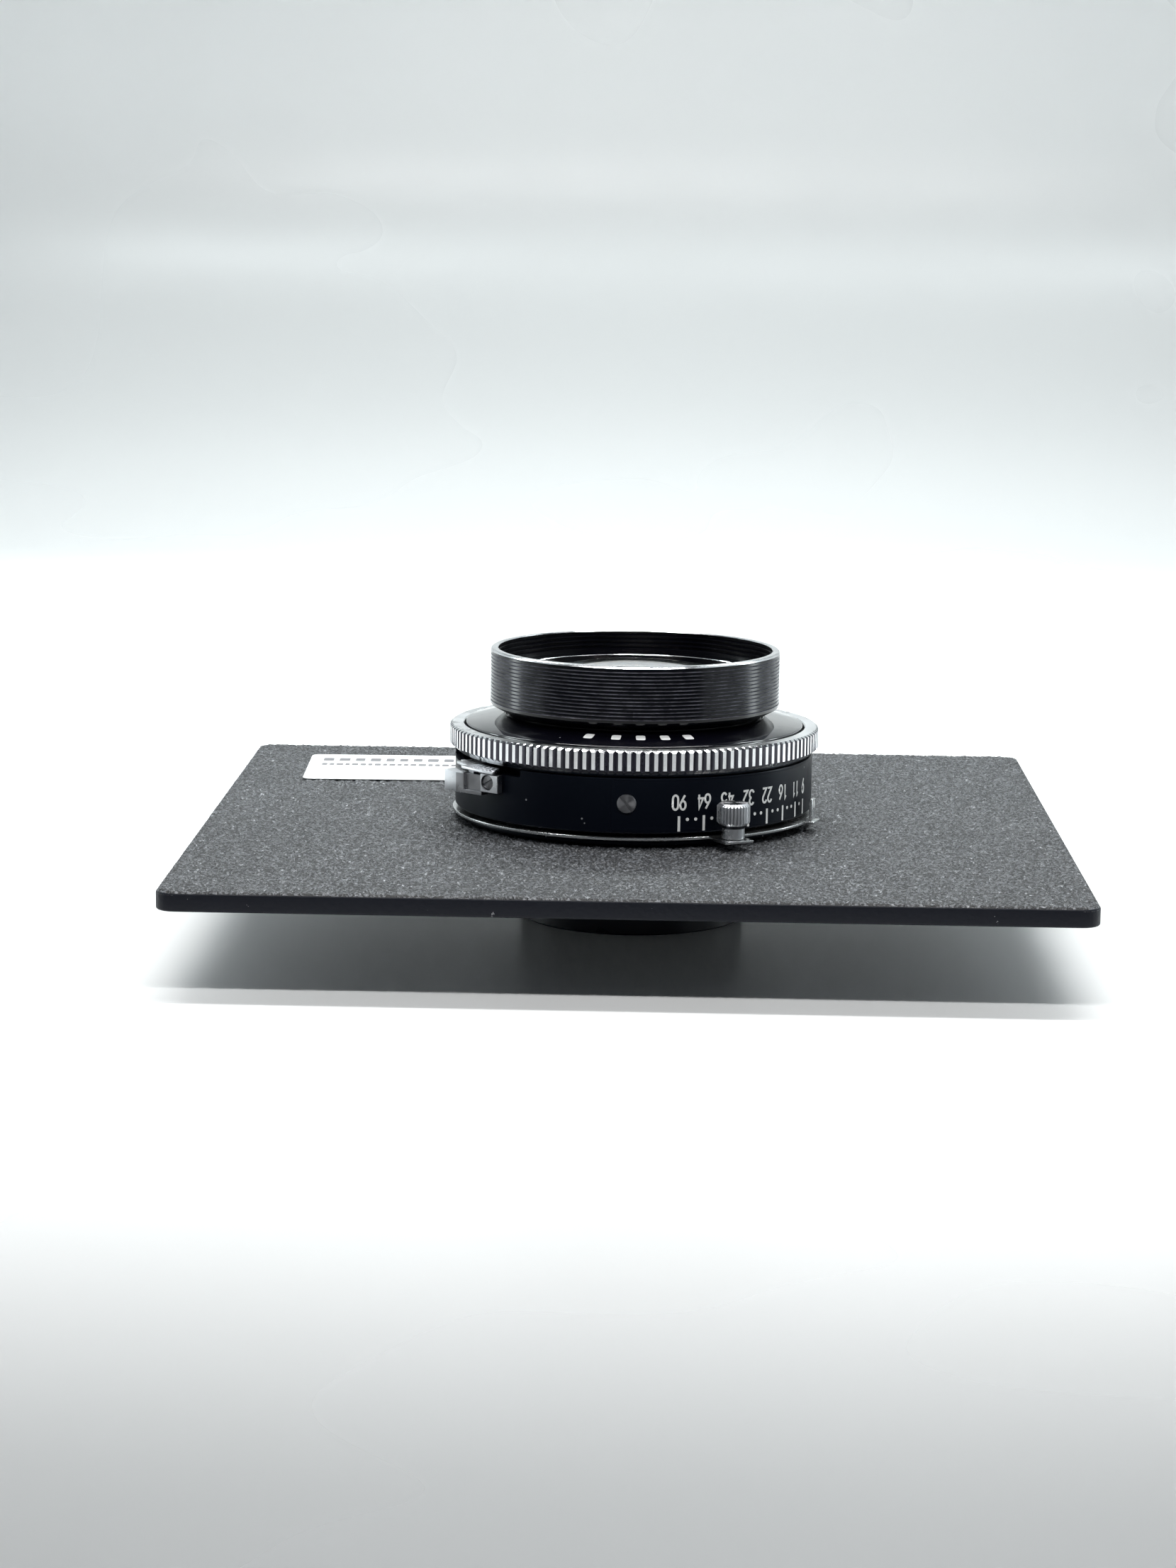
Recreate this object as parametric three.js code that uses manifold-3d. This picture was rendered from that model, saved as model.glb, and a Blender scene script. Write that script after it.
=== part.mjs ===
// A large-format lens in a leaf shutter, mounted on a square lensboard.
// Units are millimetres. +Z is the optical axis, towards the front of the lens,
// and z = 0 is the plane of the rear barrel's rim. Azimuth 0 is -Y, and grows towards +X.

import * as THREE from 'three';
import { mergeVertices } from 'three/addons/utils/BufferGeometryUtils.js';
import Module from 'manifold-3d';

const wasm = await Module();
wasm.setup();

// ---------------------------------------------------------------- driving dimensions

const ROUND = 40; // sides of the large turned pieces
const SMALL_ROUND = 28; // sides of the inner rings and glasses
const PIN_ROUND = 7; // sides of pins and small screws
const GAP = 0.3; // clearance between neighbours that touch on the real thing
const BORE = 15.0; // clear radius through the shutter

const BOARD = { half: 70, corner: 3, bottom: 13.2, top: 16.5, hole: 20.9 };
const CHANNEL = { inset: 5, width: 2, depth: 0.8, corner: 1 }; // light trap on the board's back
const LABEL = { x: -35.6, y: 44.5, width: 46, height: 26.4, corner: 1.5, turn: 1.7 };
const PAPER = { thickness: 0.15, lift: 0.1 };

const TUBE = { inner: 19.0, outer: 20.6, bottom: 10.2 }; // threaded tube through the board
const FLANGE = { radius: 28.6, bottom: 16.75, top: 17.4, hub: 23.5, hubTop: 18.45 };
const NUT = { outer: 25.0, bottom: 10.4, top: 12.9, notch: 3.0, notchDepth: 1.6 };

const BODY = { radius: 29.5, inner: 28.3, bottom: 18.75, floor: 19.3, top: 27.6 };
const SCALE = { inner: 29.1, start: -6.2, end: 77.6, bottom: 19.2, top: 27.3, recess: 28.9 };
const SCALE_SCREW = { azimuth: -1.4, z: 23.6, radius: 1.55, shank: 0.8 };
const SEAT = { margin: 0.2, angle: 0.4 }; // how much wider than the scale its seat in the body is
const WALL_SLOTS = [
  { start: -90, end: -37.2, bottom: 26.45, top: 28.6 }, // release lever
  { start: 180, end: 210, bottom: 23.3, top: 24.25 }, // blade preview lever
  { start: 144, end: 156, bottom: 25.0, top: 26.3 }, // cocking lever
];

const APERTURE_RING = { inner: 23.8, outer: 29.9, bottom: 17.7, top: 18.15, travel: 55 };
const STRIP = { start: 24.5, end: 73.5, outer: 30.6 };
const KNOB = { azimuth: 29.2, at: 33.2, radius: 2.65, shank: 1.8, bottom: 18.25, top: 24.0 };
const KNOB_SHAPE = { shankTop: 19.95, shoulder: 20.55, chamfer: 0.5 };
const KNOB_LUG = { width: 5.0, past: 2.2 };
const POINTER = { azimuth: 70, inner: 30.9, outer: 31.5, width: 1.9, top: 21.7 };
const POINTER_FOOT = { width: 3.6, past: 0.6 };

const IRIS = { count: 7, pivot: 25.6, inner: 15.3, outer: 23.8, arm: 5.0, sweep: 124 };
const IRIS_OPEN = 11.5; // opening radius at f/9, the rest position
const IRIS_SHUT = 1.15; // opening radius at f/90
const LEAF = { count: 5, pivot: 26.4, inner: 15.3, outer: 24.9, arm: 2.3, sweep: 125 };
const LEAF_OVERLAP = 0.4; // how far a closed leaf reaches past the axis
const SHEET = { thickness: 0.14, pitch: 0.26, iris: 19.6, leaf: 22.15 };
const PIN = 0.42;

const DIVIDER = { bottom: 21.55, top: 21.9, outer: 28.0 };
const DRIVE = { bottom: 23.6, top: 23.95, inner: 24.2, outer: 28.0, travel: 20 };
const PREVIEW = { azimuth: 185, reach: 33.8, width: 3.2, top: 25.4 };
const DECK = { bottom: 24.2, top: 24.7, outer: 28.0 };
const THROAT = { inner: 18.7, outer: 20.4, top: 32.4 };
const LID = { inner: 20.8, outer: 27.9, bottom: 27.45, top: 27.8 };

const GEAR_MODULE = 0.4;
const TRAIN = { radius: 24.6, azimuth: 150, sector: 30, retard: 14, escape: 10 };
const COCKING = { bottom: 25.3, top: 26.0, reach: 33.8, width: 2.6, travel: 25, tab: 28.0 };
const STUD = { radius: 0.7, hub: 1.6, top: 26.6 };

const SPEED_RING = { inner: 28.1, outer: 30.44, foot: 29.3, bottom: 27.85, top: 32.1 };
const KNURL = { teeth: 134, depth: 0.42, bottom: 28.9, top: 31.8, shoulder: 30.1 };
const CAM = { inner: 21.2, outer: 27.8, bottom: 28.3, top: 28.7, slot: 1.4 };
const CAM_SLOTS = [
  { radius: 23.7, start: -70, end: -15 },
  { radius: 24.5, start: 5, end: 60 },
];
const FACE = { inner: 21.3, outer: 27.8, bottom: 31.95, top: 32.4, innerTop: 33.75 };

// The release lever is one flat piece: a finger pad, a neck round the body and a hook into it.
const LEVER = { bottom: 26.75, top: 27.25, inner: 28.7, outer: 32.4, start: -59, end: -43.5 };
const LEVER_NECK = { inner: 29.9, outer: 31.3, start: -82 };
const LEVER_HOOK = { inner: 25.8, outer: 30.2, start: -84, end: -75 };
const LEVER_TAB = { inner: 30.5, outer: 31.2, start: -57.8, end: -55.0, bottom: 24.2 };
const RIDGE = { count: 5, first: 1.6, pitch: 2.2, inner: 30.6, outer: 32.1, width: 0.5, height: 0.35 };

// The cable-release bracket is a straight bar. Its parts are measured along its flat face
// from the face's middle line, which lies at one azimuth, and outwards from the optical axis.
const BRACKET = { azimuth: -37, face: 30.7, back: 28.0, clear: 29.8 };
const SOCKET = { start: -15.6, end: -11.9, back: 27.4, bottom: 22.9, top: 26.2 };
const SOCKET_THREAD = { radius: 1.15, out: 29.05, z: 24.55 };
const BAR = { start: -12.1, end: -7.2, bottom: 22.9, top: 23.9 };
const LUG = { start: -7.4, end: -3.8, bottom: 23.5, top: 26.45 };
const LUG_SCREW = { along: -6.0, z: 25.1, seat: 30.0, head: 1.05, hole: 0.75, shank: 0.6, foot: 29.25 };
const SYNC = { azimuth: 228, z: 22.2, outer: 1.75, inner: 1.2, start: 28.5, end: 33.4 };
const SYNC_PIN = { radius: 0.35, start: 30.0, end: 33.0 };

const FRONT = {
  bore: 16.4,
  cell: 17.6,
  sleeve: 18.4,
  seat: 19.6,
  neck: 20.9,
  shoulder: 21.0,
  filter: 22.6,
  barrel: 23.85,
  foot: 25.1,
  step: 31.2,
  neckBottom: 33.2,
  neckTop: 33.9,
  flareTop: 35.4,
  ledge: 35.9,
  seatTop: 39.6,
  rim: 44.6,
};
const REAR = { outer: 18.5, bore: 17.0, throat: 14.9, neck: 13.6, seat: 6.6, step: 11.4, top: 17.2 };
const RETAINER = { notch: 1.3, notchDepth: 0.6 };
const FRONT_RETAINER = { inner: 19.5, bottom: 39.9, top: 40.9, notchInner: 20.6, azimuths: [22, 202] };
const REAR_RETAINER = { inner: 14.6, bottom: 1.2, top: 2.3, notchInner: 15.6, azimuths: [0, 180] };

// Each glass: its radius, and the heights of both faces at the axis and at the edge.
const GLASSES = {
  front_outer_element: { radius: 19.3, lower: [36.0, 36.3], upper: [42.3, 39.7] },
  front_inner_element: { radius: 17.3, lower: [32.3, 31.5], upper: [33.5, 34.2] },
  rear_outer_element: { radius: 16.7, lower: [1.4, 2.9], upper: [6.5, 6.2] },
  rear_inner_element: { radius: 14.6, lower: [9.2, 8.5], upper: [10.4, 11.1] },
};
const SPACERS = {
  front_spacer: { inner: 15.9, outer: 17.3, bottom: 34.5, top: 35.6 },
  rear_spacer: { inner: 13.0, outer: 14.6, bottom: 7.0, top: 8.2 },
};
const SPRING = { length: 8, radius: 0.6, wire: 0.14, turns: 5, z: 25.6, from: 12, lean: 102 };

// ---------------------------------------------------------------- helpers

const rad = THREE.MathUtils.degToRad;

/** The direction of an azimuth as an angle from +X. */
const bearing = (azimuth) => rad(azimuth - 90);

/** A finish for a mesh. */
function finish(color, roughness, metalness) {
  return new THREE.MeshStandardMaterial({ color, roughness, metalness });
}

const FINISH = {
  wrinkle: finish(0x2c2e31, 0.7, 0.1),
  paper: finish(0xe9eaea, 0.8, 0.0),
  satinBlack: finish(0x121318, 0.4, 0.3),
  glossBlack: finish(0x08090c, 0.15, 0.2),
  chrome: finish(0xd4d6d8, 0.15, 1.0),
  steel: finish(0x8d9094, 0.35, 1.0),
  blued: finish(0x1b1c20, 0.45, 0.8),
  brass: finish(0xb08d4a, 0.35, 1.0),
  glass: finish(0xcfe0e6, 0.05, 0.0),
};

/** A closed solid from a geometry, with its faces turned outwards. */
function solid(geometry) {
  const bare = geometry.clone();
  bare.deleteAttribute('normal');
  bare.deleteAttribute('uv');
  const merged = mergeVertices(bare, 1e-4);
  const vertProperties = new Float32Array(merged.attributes.position.array);
  const triVerts = new Uint32Array(merged.index.array);
  if (signedVolume(vertProperties, triVerts) < 0) {
    for (let i = 0; i < triVerts.length; i += 3) {
      [triVerts[i], triVerts[i + 1]] = [triVerts[i + 1], triVerts[i]];
    }
  }
  return new wasm.Manifold(new wasm.Mesh({ numProp: 3, vertProperties, triVerts }));
}

function signedVolume(points, triangles) {
  let sum = 0;
  const corner = (i) => new THREE.Vector3().fromArray(points, 3 * triangles[i]);
  for (let i = 0; i < triangles.length; i += 3) {
    sum += corner(i).dot(corner(i + 1).cross(corner(i + 2)));
  }
  return sum / 6;
}

function geometryOf(manifold) {
  const mesh = manifold.getMesh();
  const geometry = new THREE.BufferGeometry();
  geometry.setAttribute('position', new THREE.BufferAttribute(mesh.vertProperties, 3));
  geometry.setIndex(new THREE.BufferAttribute(mesh.triVerts, 1));
  geometry.computeVertexNormals();
  return geometry;
}

function join(first, ...others) {
  return geometryOf(others.reduce((sum, other) => sum.add(solid(other)), solid(first)));
}

function cut(first, ...tools) {
  return geometryOf(tools.reduce((rest, tool) => rest.subtract(solid(tool)), solid(first)));
}

function common(first, second) {
  return geometryOf(solid(first).intersect(solid(second)));
}

/** Turns a profile of [radius, z] corners about +Z. It closes on itself. */
function turn(profile, sides = ROUND) {
  const points = [...profile, profile[0]].map(([r, z]) => new THREE.Vector2(r, z));
  const geometry = new THREE.LatheGeometry(points, sides);
  geometry.rotateX(Math.PI / 2);
  return geometryOf(solid(geometry));
}

function ring(inner, outer, bottom, top, sides = ROUND) {
  return turn([[inner, bottom], [outer, bottom], [outer, top], [inner, top]], sides);
}

/** A disc about +Z: its profile starts and ends on the axis. */
function disc(profile, sides = SMALL_ROUND) {
  const points = profile.map(([r, z]) => new THREE.Vector2(r, z));
  const geometry = new THREE.LatheGeometry(points, sides);
  geometry.rotateX(Math.PI / 2);
  return geometryOf(solid(geometry));
}

/** Extrudes a flat shape from z = bottom to z = top. */
function plate(shape, bottom, top, curveSegments = 12) {
  const options = { depth: top - bottom, bevelEnabled: false, curveSegments };
  return new THREE.ExtrudeGeometry(shape, options).translate(0, 0, bottom);
}

/** A block that points along +X: inner to outer radius, centred on +Y. */
function block(inner, outer, width, bottom, top) {
  const geometry = new THREE.BoxGeometry(outer - inner, width, top - bottom);
  return geometry.translate((inner + outer) / 2, 0, (bottom + top) / 2);
}

/** A pin along +Z at (x, y). */
function pin(x, y, radius, bottom, top, sides = PIN_ROUND) {
  const geometry = new THREE.CylinderGeometry(radius, radius, top - bottom, sides);
  return geometry.rotateX(Math.PI / 2).translate(x, y, (bottom + top) / 2);
}

/** A pin along +X, from inner to outer radius, at height z. */
function radialPin(radius, inner, outer, z, sides = PIN_ROUND) {
  const geometry = new THREE.CylinderGeometry(radius, radius, outer - inner, sides);
  return geometry.rotateZ(Math.PI / 2).translate((inner + outer) / 2, 0, z);
}

/** Moves what points along +X round to an azimuth. */
const swing = (geometry, azimuth) => geometry.rotateZ(bearing(azimuth));

/** A stretch of a ring between two azimuths. */
function arcBlock(inner, outer, start, end, bottom, top) {
  const shape = new THREE.Shape();
  shape.absarc(0, 0, outer, bearing(start), bearing(end), false);
  shape.absarc(0, 0, inner, bearing(end), bearing(start), true);
  const segments = Math.max(2, Math.ceil((end - start) / 8));
  return plate(shape, bottom, top, segments);
}

/** Corners of a regular polygon round (x, y). */
function circle(radius, sides, x = 0, y = 0) {
  const centre = new THREE.Vector2(x, y);
  return Array.from({ length: sides }, (_, i) => (
    polar(radius, (i / sides) * 2 * Math.PI).add(centre)
  ));
}

const disk = (radius, sides) => new THREE.Shape(circle(radius, sides));

function holeIn(shape, radius, sides, x = 0, y = 0) {
  shape.holes.push(new THREE.Path(circle(radius, sides, x, y)));
}

function roundedRectangle(halfWidth, halfHeight, corner) {
  const shape = new THREE.Shape();
  const x = halfWidth - corner;
  const y = halfHeight - corner;
  shape.absarc(x, y, corner, 0, Math.PI / 2);
  shape.absarc(-x, y, corner, Math.PI / 2, Math.PI);
  shape.absarc(-x, -y, corner, Math.PI, 1.5 * Math.PI);
  shape.absarc(x, -y, corner, 1.5 * Math.PI, 2 * Math.PI);
  return shape;
}

const roundedSquare = (half, corner) => roundedRectangle(half, half, corner);

/** A straight slot with round ends between two points. */
function slot(from, to, radius, bottom, top) {
  const along = Math.atan2(to.y - from.y, to.x - from.x);
  const shape = new THREE.Shape();
  shape.absarc(to.x, to.y, radius, along - Math.PI / 2, along + Math.PI / 2);
  shape.absarc(from.x, from.y, radius, along + Math.PI / 2, along + 1.5 * Math.PI);
  return plate(shape, bottom, top, 2);
}

const polar = (radius, angle) => new THREE.Vector2(
  radius * Math.cos(angle),
  radius * Math.sin(angle),
);

// ---------------------------------------------------------------- blades and their cams

/** How far a blade turns about its pivot to move its own centre off the axis by offset. */
const turnFor = (blade, offset) => 2 * Math.asin(offset / (2 * blade.pivot));

const irisOpen = turnFor(IRIS, IRIS.inner - IRIS_OPEN);
const irisShut = turnFor(IRIS, IRIS.inner - IRIS_SHUT);
const leafShut = turnFor(LEAF, LEAF.inner + LEAF_OVERLAP);

/** Turns the leaves' pivots clear of the iris's pivots, which share one plate. */
const LEAF_TURN = Math.PI / (IRIS.count * LEAF.count);

/** The drive pin of a blade whose pivot is on +X, after a turn about that pivot. */
function drivePin(blade, turned, middle) {
  const angle = turned - middle - Math.PI / 2;
  return new THREE.Vector2(blade.pivot, 0).add(polar(blade.arm, angle));
}

/**
 * One blade with its pivot on +X: a crescent, its ear, a pivot pin and a drive pin.
 * The crescent is concentric with the axis before it is turned.
 */
function bladeGeometry(blade, turned, middle, bottom, pivotPin, drivePinSpan) {
  const top = bottom + SHEET.thickness;
  const sweep = rad(blade.sweep);
  const mean = (blade.inner + blade.outer) / 2;
  const tail = polar(mean, sweep);
  const outline = new THREE.Shape();
  outline.absarc(0, 0, blade.outer, 0, sweep, false);
  outline.absarc(tail.x, tail.y, (blade.outer - blade.inner) / 2, sweep, sweep + Math.PI, false);
  outline.absarc(0, 0, blade.inner, sweep, 0, true);
  const ear = drivePin(blade, 0, middle);
  const pivot = new THREE.Vector2(blade.pivot, 0);
  const root = new THREE.Vector2(mean, 1.2);
  const pieces = [
    slot(root, pivot, 1.0, bottom, top),
    slot(pivot, ear, PIN + 0.4, bottom, top),
    pin(pivot.x, pivot.y, PIN, ...pivotPin),
    pin(ear.x, ear.y, PIN, ...drivePinSpan),
  ];
  const whole = join(plate(outline, bottom, top, 6), ...pieces);
  return whole.translate(-blade.pivot, 0, 0).rotateZ(turned).translate(blade.pivot, 0, 0);
}

/** The slot that a drive pin follows in a cam ring, as a flat path with its width. */
function camSlot(blade, from, to, middle, ringTurn, startAngle) {
  const steps = 7;
  const halfWidth = PIN + 0.12;
  const spare = 0.07; // part of the travel that the slot runs past each end
  const centres = Array.from({ length: steps + 1 }, (_, i) => {
    const part = -spare + (i / steps) * (1 + 2 * spare);
    const at = drivePin(blade, from + part * (to - from), middle);
    return polar(at.length(), at.angle() - part * ringTurn + startAngle);
  });
  const side = (sign) => centres.map((point, i) => {
    const before = centres[Math.max(i - 1, 0)];
    const after = centres[Math.min(i + 1, centres.length - 1)];
    const along = after.clone().sub(before).normalize();
    return new THREE.Vector2(-along.y, along.x).multiplyScalar(sign * halfWidth).add(point);
  });
  const corners = [...side(1), ...side(-1).reverse()];
  return new THREE.Path(corners);
}

// ---------------------------------------------------------------- lensboard

function lensBoard() {
  const shape = roundedSquare(BOARD.half, BOARD.corner);
  holeIn(shape, BOARD.hole, SMALL_ROUND);
  const outer = BOARD.half - CHANNEL.inset;
  const channelShape = roundedSquare(outer, CHANNEL.corner);
  const inner = roundedSquare(outer - CHANNEL.width, CHANNEL.corner);
  channelShape.holes.push(new THREE.Path(inner.getPoints(1)));
  const channel = plate(channelShape, BOARD.bottom - 1, BOARD.bottom + CHANNEL.depth, 1);
  return cut(plate(shape, BOARD.bottom, BOARD.top, 4), channel);
}

function boardLabel() {
  const shape = roundedRectangle(LABEL.width / 2, LABEL.height / 2, LABEL.corner);
  return plate(shape, 0, PAPER.thickness, 3).rotateZ(rad(LABEL.turn));
}

function boardNut() {
  const notches = [0, 90, 180, 270].map((azimuth) => swing(
    block(NUT.outer - NUT.notchDepth, NUT.outer + 1, NUT.notch, NUT.bottom - 1, NUT.top + 1),
    azimuth,
  ));
  return cut(ring(TUBE.outer + GAP, NUT.outer, NUT.bottom, NUT.top, SMALL_ROUND), ...notches);
}

// ---------------------------------------------------------------- shutter, fixed pieces

function rearMount() {
  return turn([
    [TUBE.inner, TUBE.bottom],
    [TUBE.outer, TUBE.bottom],
    [TUBE.outer, FLANGE.bottom],
    [FLANGE.radius, FLANGE.bottom],
    [FLANGE.radius, FLANGE.top],
    [FLANGE.hub, FLANGE.top],
    [FLANGE.hub, FLANGE.hubTop],
    [TUBE.inner, FLANGE.hubTop],
  ], SMALL_ROUND);
}

function shutterHousing() {
  const shell = turn([
    [BORE, BODY.bottom],
    [BODY.radius, BODY.bottom],
    [BODY.radius, BODY.top],
    [BODY.inner, BODY.top],
    [BODY.inner, BODY.floor],
    [BORE, BODY.floor],
  ]);
  const middle = (irisOpen + irisShut) / 2;
  const tools = [];
  for (let i = 0; i < IRIS.count; i += 1) {
    const from = drivePin(IRIS, irisOpen, middle);
    const to = drivePin(IRIS, irisShut, middle);
    const window = slot(from, to, PIN + 0.35, BODY.bottom - 1, BODY.floor + 0.1);
    tools.push(window.rotateZ((i / IRIS.count) * 2 * Math.PI));
  }
  const past = BODY.radius + 1;
  const within = BODY.inner - 0.4;
  tools.push(arcBlock(
    SCALE.recess,
    past,
    SCALE.start - SEAT.angle,
    SCALE.end + SEAT.angle,
    SCALE.bottom - SEAT.margin,
    SCALE.top + SEAT.margin,
  ));
  const { shank, z, azimuth } = SCALE_SCREW;
  tools.push(swing(radialPin(shank + GAP, within, past, z), azimuth));
  for (const { start, end, bottom, top } of WALL_SLOTS) {
    tools.push(arcBlock(within, past, start, end, bottom, top));
  }
  tools.push(swing(radialPin(SYNC.outer + GAP, SYNC.start - 0.1, past, SYNC.z), SYNC.azimuth));
  return cut(shell, ...tools);
}

function scalePlate() {
  const strip = arcBlock(SCALE.inner, BODY.radius, SCALE.start, SCALE.end, SCALE.bottom, SCALE.top);
  const seat = radialPin(SCALE_SCREW.shank + GAP, SCALE.inner - 1, BODY.radius + 1, SCALE_SCREW.z);
  return cut(strip, swing(seat, SCALE_SCREW.azimuth));
}

/** A slotted screw along +X: its head stands on radius seat. */
function slottedScrew(z, seat, head, height, shank, foot, slotTurn) {
  const body = join(
    radialPin(head, seat, seat + height, z, 20),
    radialPin(shank, foot, seat + 0.1, z),
  );
  const groove = new THREE.BoxGeometry(0.3, 2 * head + 1, 0.42);
  groove.rotateX(slotTurn).translate(seat + height, 0, z);
  return cut(body, groove);
}

function divider() {
  const shape = disk(DIVIDER.outer, SMALL_ROUND);
  holeIn(shape, BORE, SMALL_ROUND);
  for (const blade of [IRIS, LEAF]) {
    for (let i = 0; i < blade.count; i += 1) {
      const offset = blade === LEAF ? LEAF_TURN : 0;
      const at = polar(blade.pivot, (i / blade.count) * 2 * Math.PI + offset);
      holeIn(shape, PIN + 0.14, PIN_ROUND, at.x, at.y);
    }
  }
  return plate(shape, DIVIDER.bottom, DIVIDER.top);
}

function deck() {
  return turn([
    [BORE, DECK.bottom],
    [DECK.outer, DECK.bottom],
    [DECK.outer, DECK.top],
    [THROAT.outer, DECK.top],
    [THROAT.outer, THROAT.top],
    [THROAT.inner, THROAT.top],
    [THROAT.inner, DECK.top],
    [BORE, DECK.top],
  ], SMALL_ROUND);
}

function speedCam() {
  const shape = disk(CAM.outer, SMALL_ROUND);
  holeIn(shape, CAM.inner, SMALL_ROUND);
  const half = CAM.slot / 2;
  const tools = CAM_SLOTS.map(({ radius, start, end }) => (
    arcBlock(radius - half, radius + half, start, end, CAM.bottom - 1, CAM.top + 1)
  ));
  return cut(plate(shape, CAM.bottom, CAM.top), ...tools);
}

// ---------------------------------------------------------------- shutter, moving pieces

function apertureRing() {
  const shape = new THREE.Shape();
  shape.absarc(0, 0, APERTURE_RING.outer, bearing(STRIP.end), bearing(STRIP.start + 360), false);
  shape.absarc(0, 0, STRIP.outer, bearing(STRIP.start), bearing(STRIP.end), false);
  holeIn(shape, APERTURE_RING.inner, SMALL_ROUND);
  const middle = (irisOpen + irisShut) / 2;
  for (let i = 0; i < IRIS.count; i += 1) {
    const angle = (i / IRIS.count) * 2 * Math.PI;
    const travel = rad(-APERTURE_RING.travel);
    shape.holes.push(camSlot(IRIS, irisOpen, irisShut, middle, travel, angle));
  }
  const flat = plate(shape, APERTURE_RING.bottom, APERTURE_RING.top, 24);
  const { bottom, top } = APERTURE_RING;
  const rim = STRIP.outer - 1;
  const lug = block(rim, KNOB.at + KNOB_LUG.past, KNOB_LUG.width, bottom, top);
  const foot = block(rim, POINTER.outer + POINTER_FOOT.past, POINTER_FOOT.width, bottom, top);
  const finger = block(POINTER.inner, POINTER.outer, POINTER.width, bottom + 0.1, POINTER.top);
  return join(
    flat,
    swing(lug, KNOB.azimuth),
    swing(foot, POINTER.azimuth),
    swing(finger, POINTER.azimuth),
  );
}

function apertureKnob() {
  const { radius, shank, bottom, top } = KNOB;
  const { shankTop, shoulder, chamfer } = KNOB_SHAPE;
  return disc([
    [0, bottom],
    [shank, bottom],
    [shank, shankTop],
    [radius, shoulder],
    [radius, top - chamfer],
    [radius - chamfer, top],
    [0, top],
  ], 20);
}

function irisBlade(layer) {
  const middle = (irisOpen + irisShut) / 2;
  const bottom = SHEET.iris + layer * SHEET.pitch;
  const pivotPin = [bottom, DIVIDER.top - 0.1];
  const drive = [APERTURE_RING.bottom + 0.1, bottom + SHEET.thickness];
  return bladeGeometry(IRIS, irisOpen, middle, bottom, pivotPin, drive);
}

function shutterLeaf(layer) {
  const bottom = SHEET.leaf + layer * SHEET.pitch;
  const pivotPin = [DIVIDER.bottom + 0.1, bottom + SHEET.thickness];
  const drive = [bottom, DRIVE.top - 0.1];
  return bladeGeometry(LEAF, leafShut, leafShut / 2, bottom, pivotPin, drive);
}

function driveRing() {
  const shape = disk(DRIVE.outer, ROUND);
  holeIn(shape, DRIVE.inner, SMALL_ROUND);
  for (let i = 0; i < LEAF.count; i += 1) {
    const angle = (i / LEAF.count) * 2 * Math.PI + LEAF_TURN;
    shape.holes.push(camSlot(LEAF, leafShut, 0, leafShut / 2, rad(DRIVE.travel), angle));
  }
  const arm = block(DRIVE.outer - 0.5, PREVIEW.reach, PREVIEW.width, DRIVE.bottom, DRIVE.top);
  const tab = block(PREVIEW.reach - 0.7, PREVIEW.reach, PREVIEW.width, DRIVE.bottom, PREVIEW.top);
  const flat = plate(shape, DRIVE.bottom, DRIVE.top);
  return join(flat, swing(arm, PREVIEW.azimuth), swing(tab, PREVIEW.azimuth));
}

/** A spur gear about +Z with a tooth centred on an angle. */
function gear(teeth, toothAngle, bottom, top) {
  const pitchRadius = (teeth * GEAR_MODULE) / 2;
  const tip = pitchRadius + 0.7 * GEAR_MODULE;
  const rootRadius = pitchRadius - 0.95 * GEAR_MODULE;
  const tipHalf = (0.2 * GEAR_MODULE) / tip;
  const rootHalf = (0.78 * GEAR_MODULE) / rootRadius;
  const points = [];
  for (let i = 0; i < teeth; i += 1) {
    const angle = toothAngle + (i / teeth) * 2 * Math.PI;
    points.push(polar(rootRadius, angle - rootHalf));
    points.push(polar(tip, angle - tipHalf));
    points.push(polar(tip, angle + tipHalf));
    points.push(polar(rootRadius, angle + rootHalf));
  }
  return plate(new THREE.Shape(points), bottom, top);
}

/** Places and phases of the three meshing wheels, from the cocking lever to the escape wheel. */
function gearTrain() {
  const radii = [TRAIN.sector, TRAIN.retard, TRAIN.escape].map((n) => (n * GEAR_MODULE) / 2);
  const step = (distance) => 2 * Math.asin(distance / (2 * TRAIN.radius));
  const first = bearing(TRAIN.azimuth);
  const second = first - step(radii[0] + radii[1]);
  const third = second - step(radii[1] + radii[2]);
  const centres = [first, second, third].map((angle) => polar(TRAIN.radius, angle));
  const towards = (from, to) => to.clone().sub(from).angle();
  const lineOne = towards(centres[0], centres[1]);
  const lineTwo = towards(centres[1], centres[2]);
  const retardPitch = (2 * Math.PI) / TRAIN.retard;
  const retardPhase = lineOne + Math.PI + retardPitch / 2;
  const offset = lineTwo - retardPhase;
  const escapePhase = lineTwo + Math.PI + (offset * radii[1]) / radii[2] + Math.PI / TRAIN.escape;
  return { centres, sectorPhase: lineOne, retardPhase, escapePhase };
}

const train = gearTrain();

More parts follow.
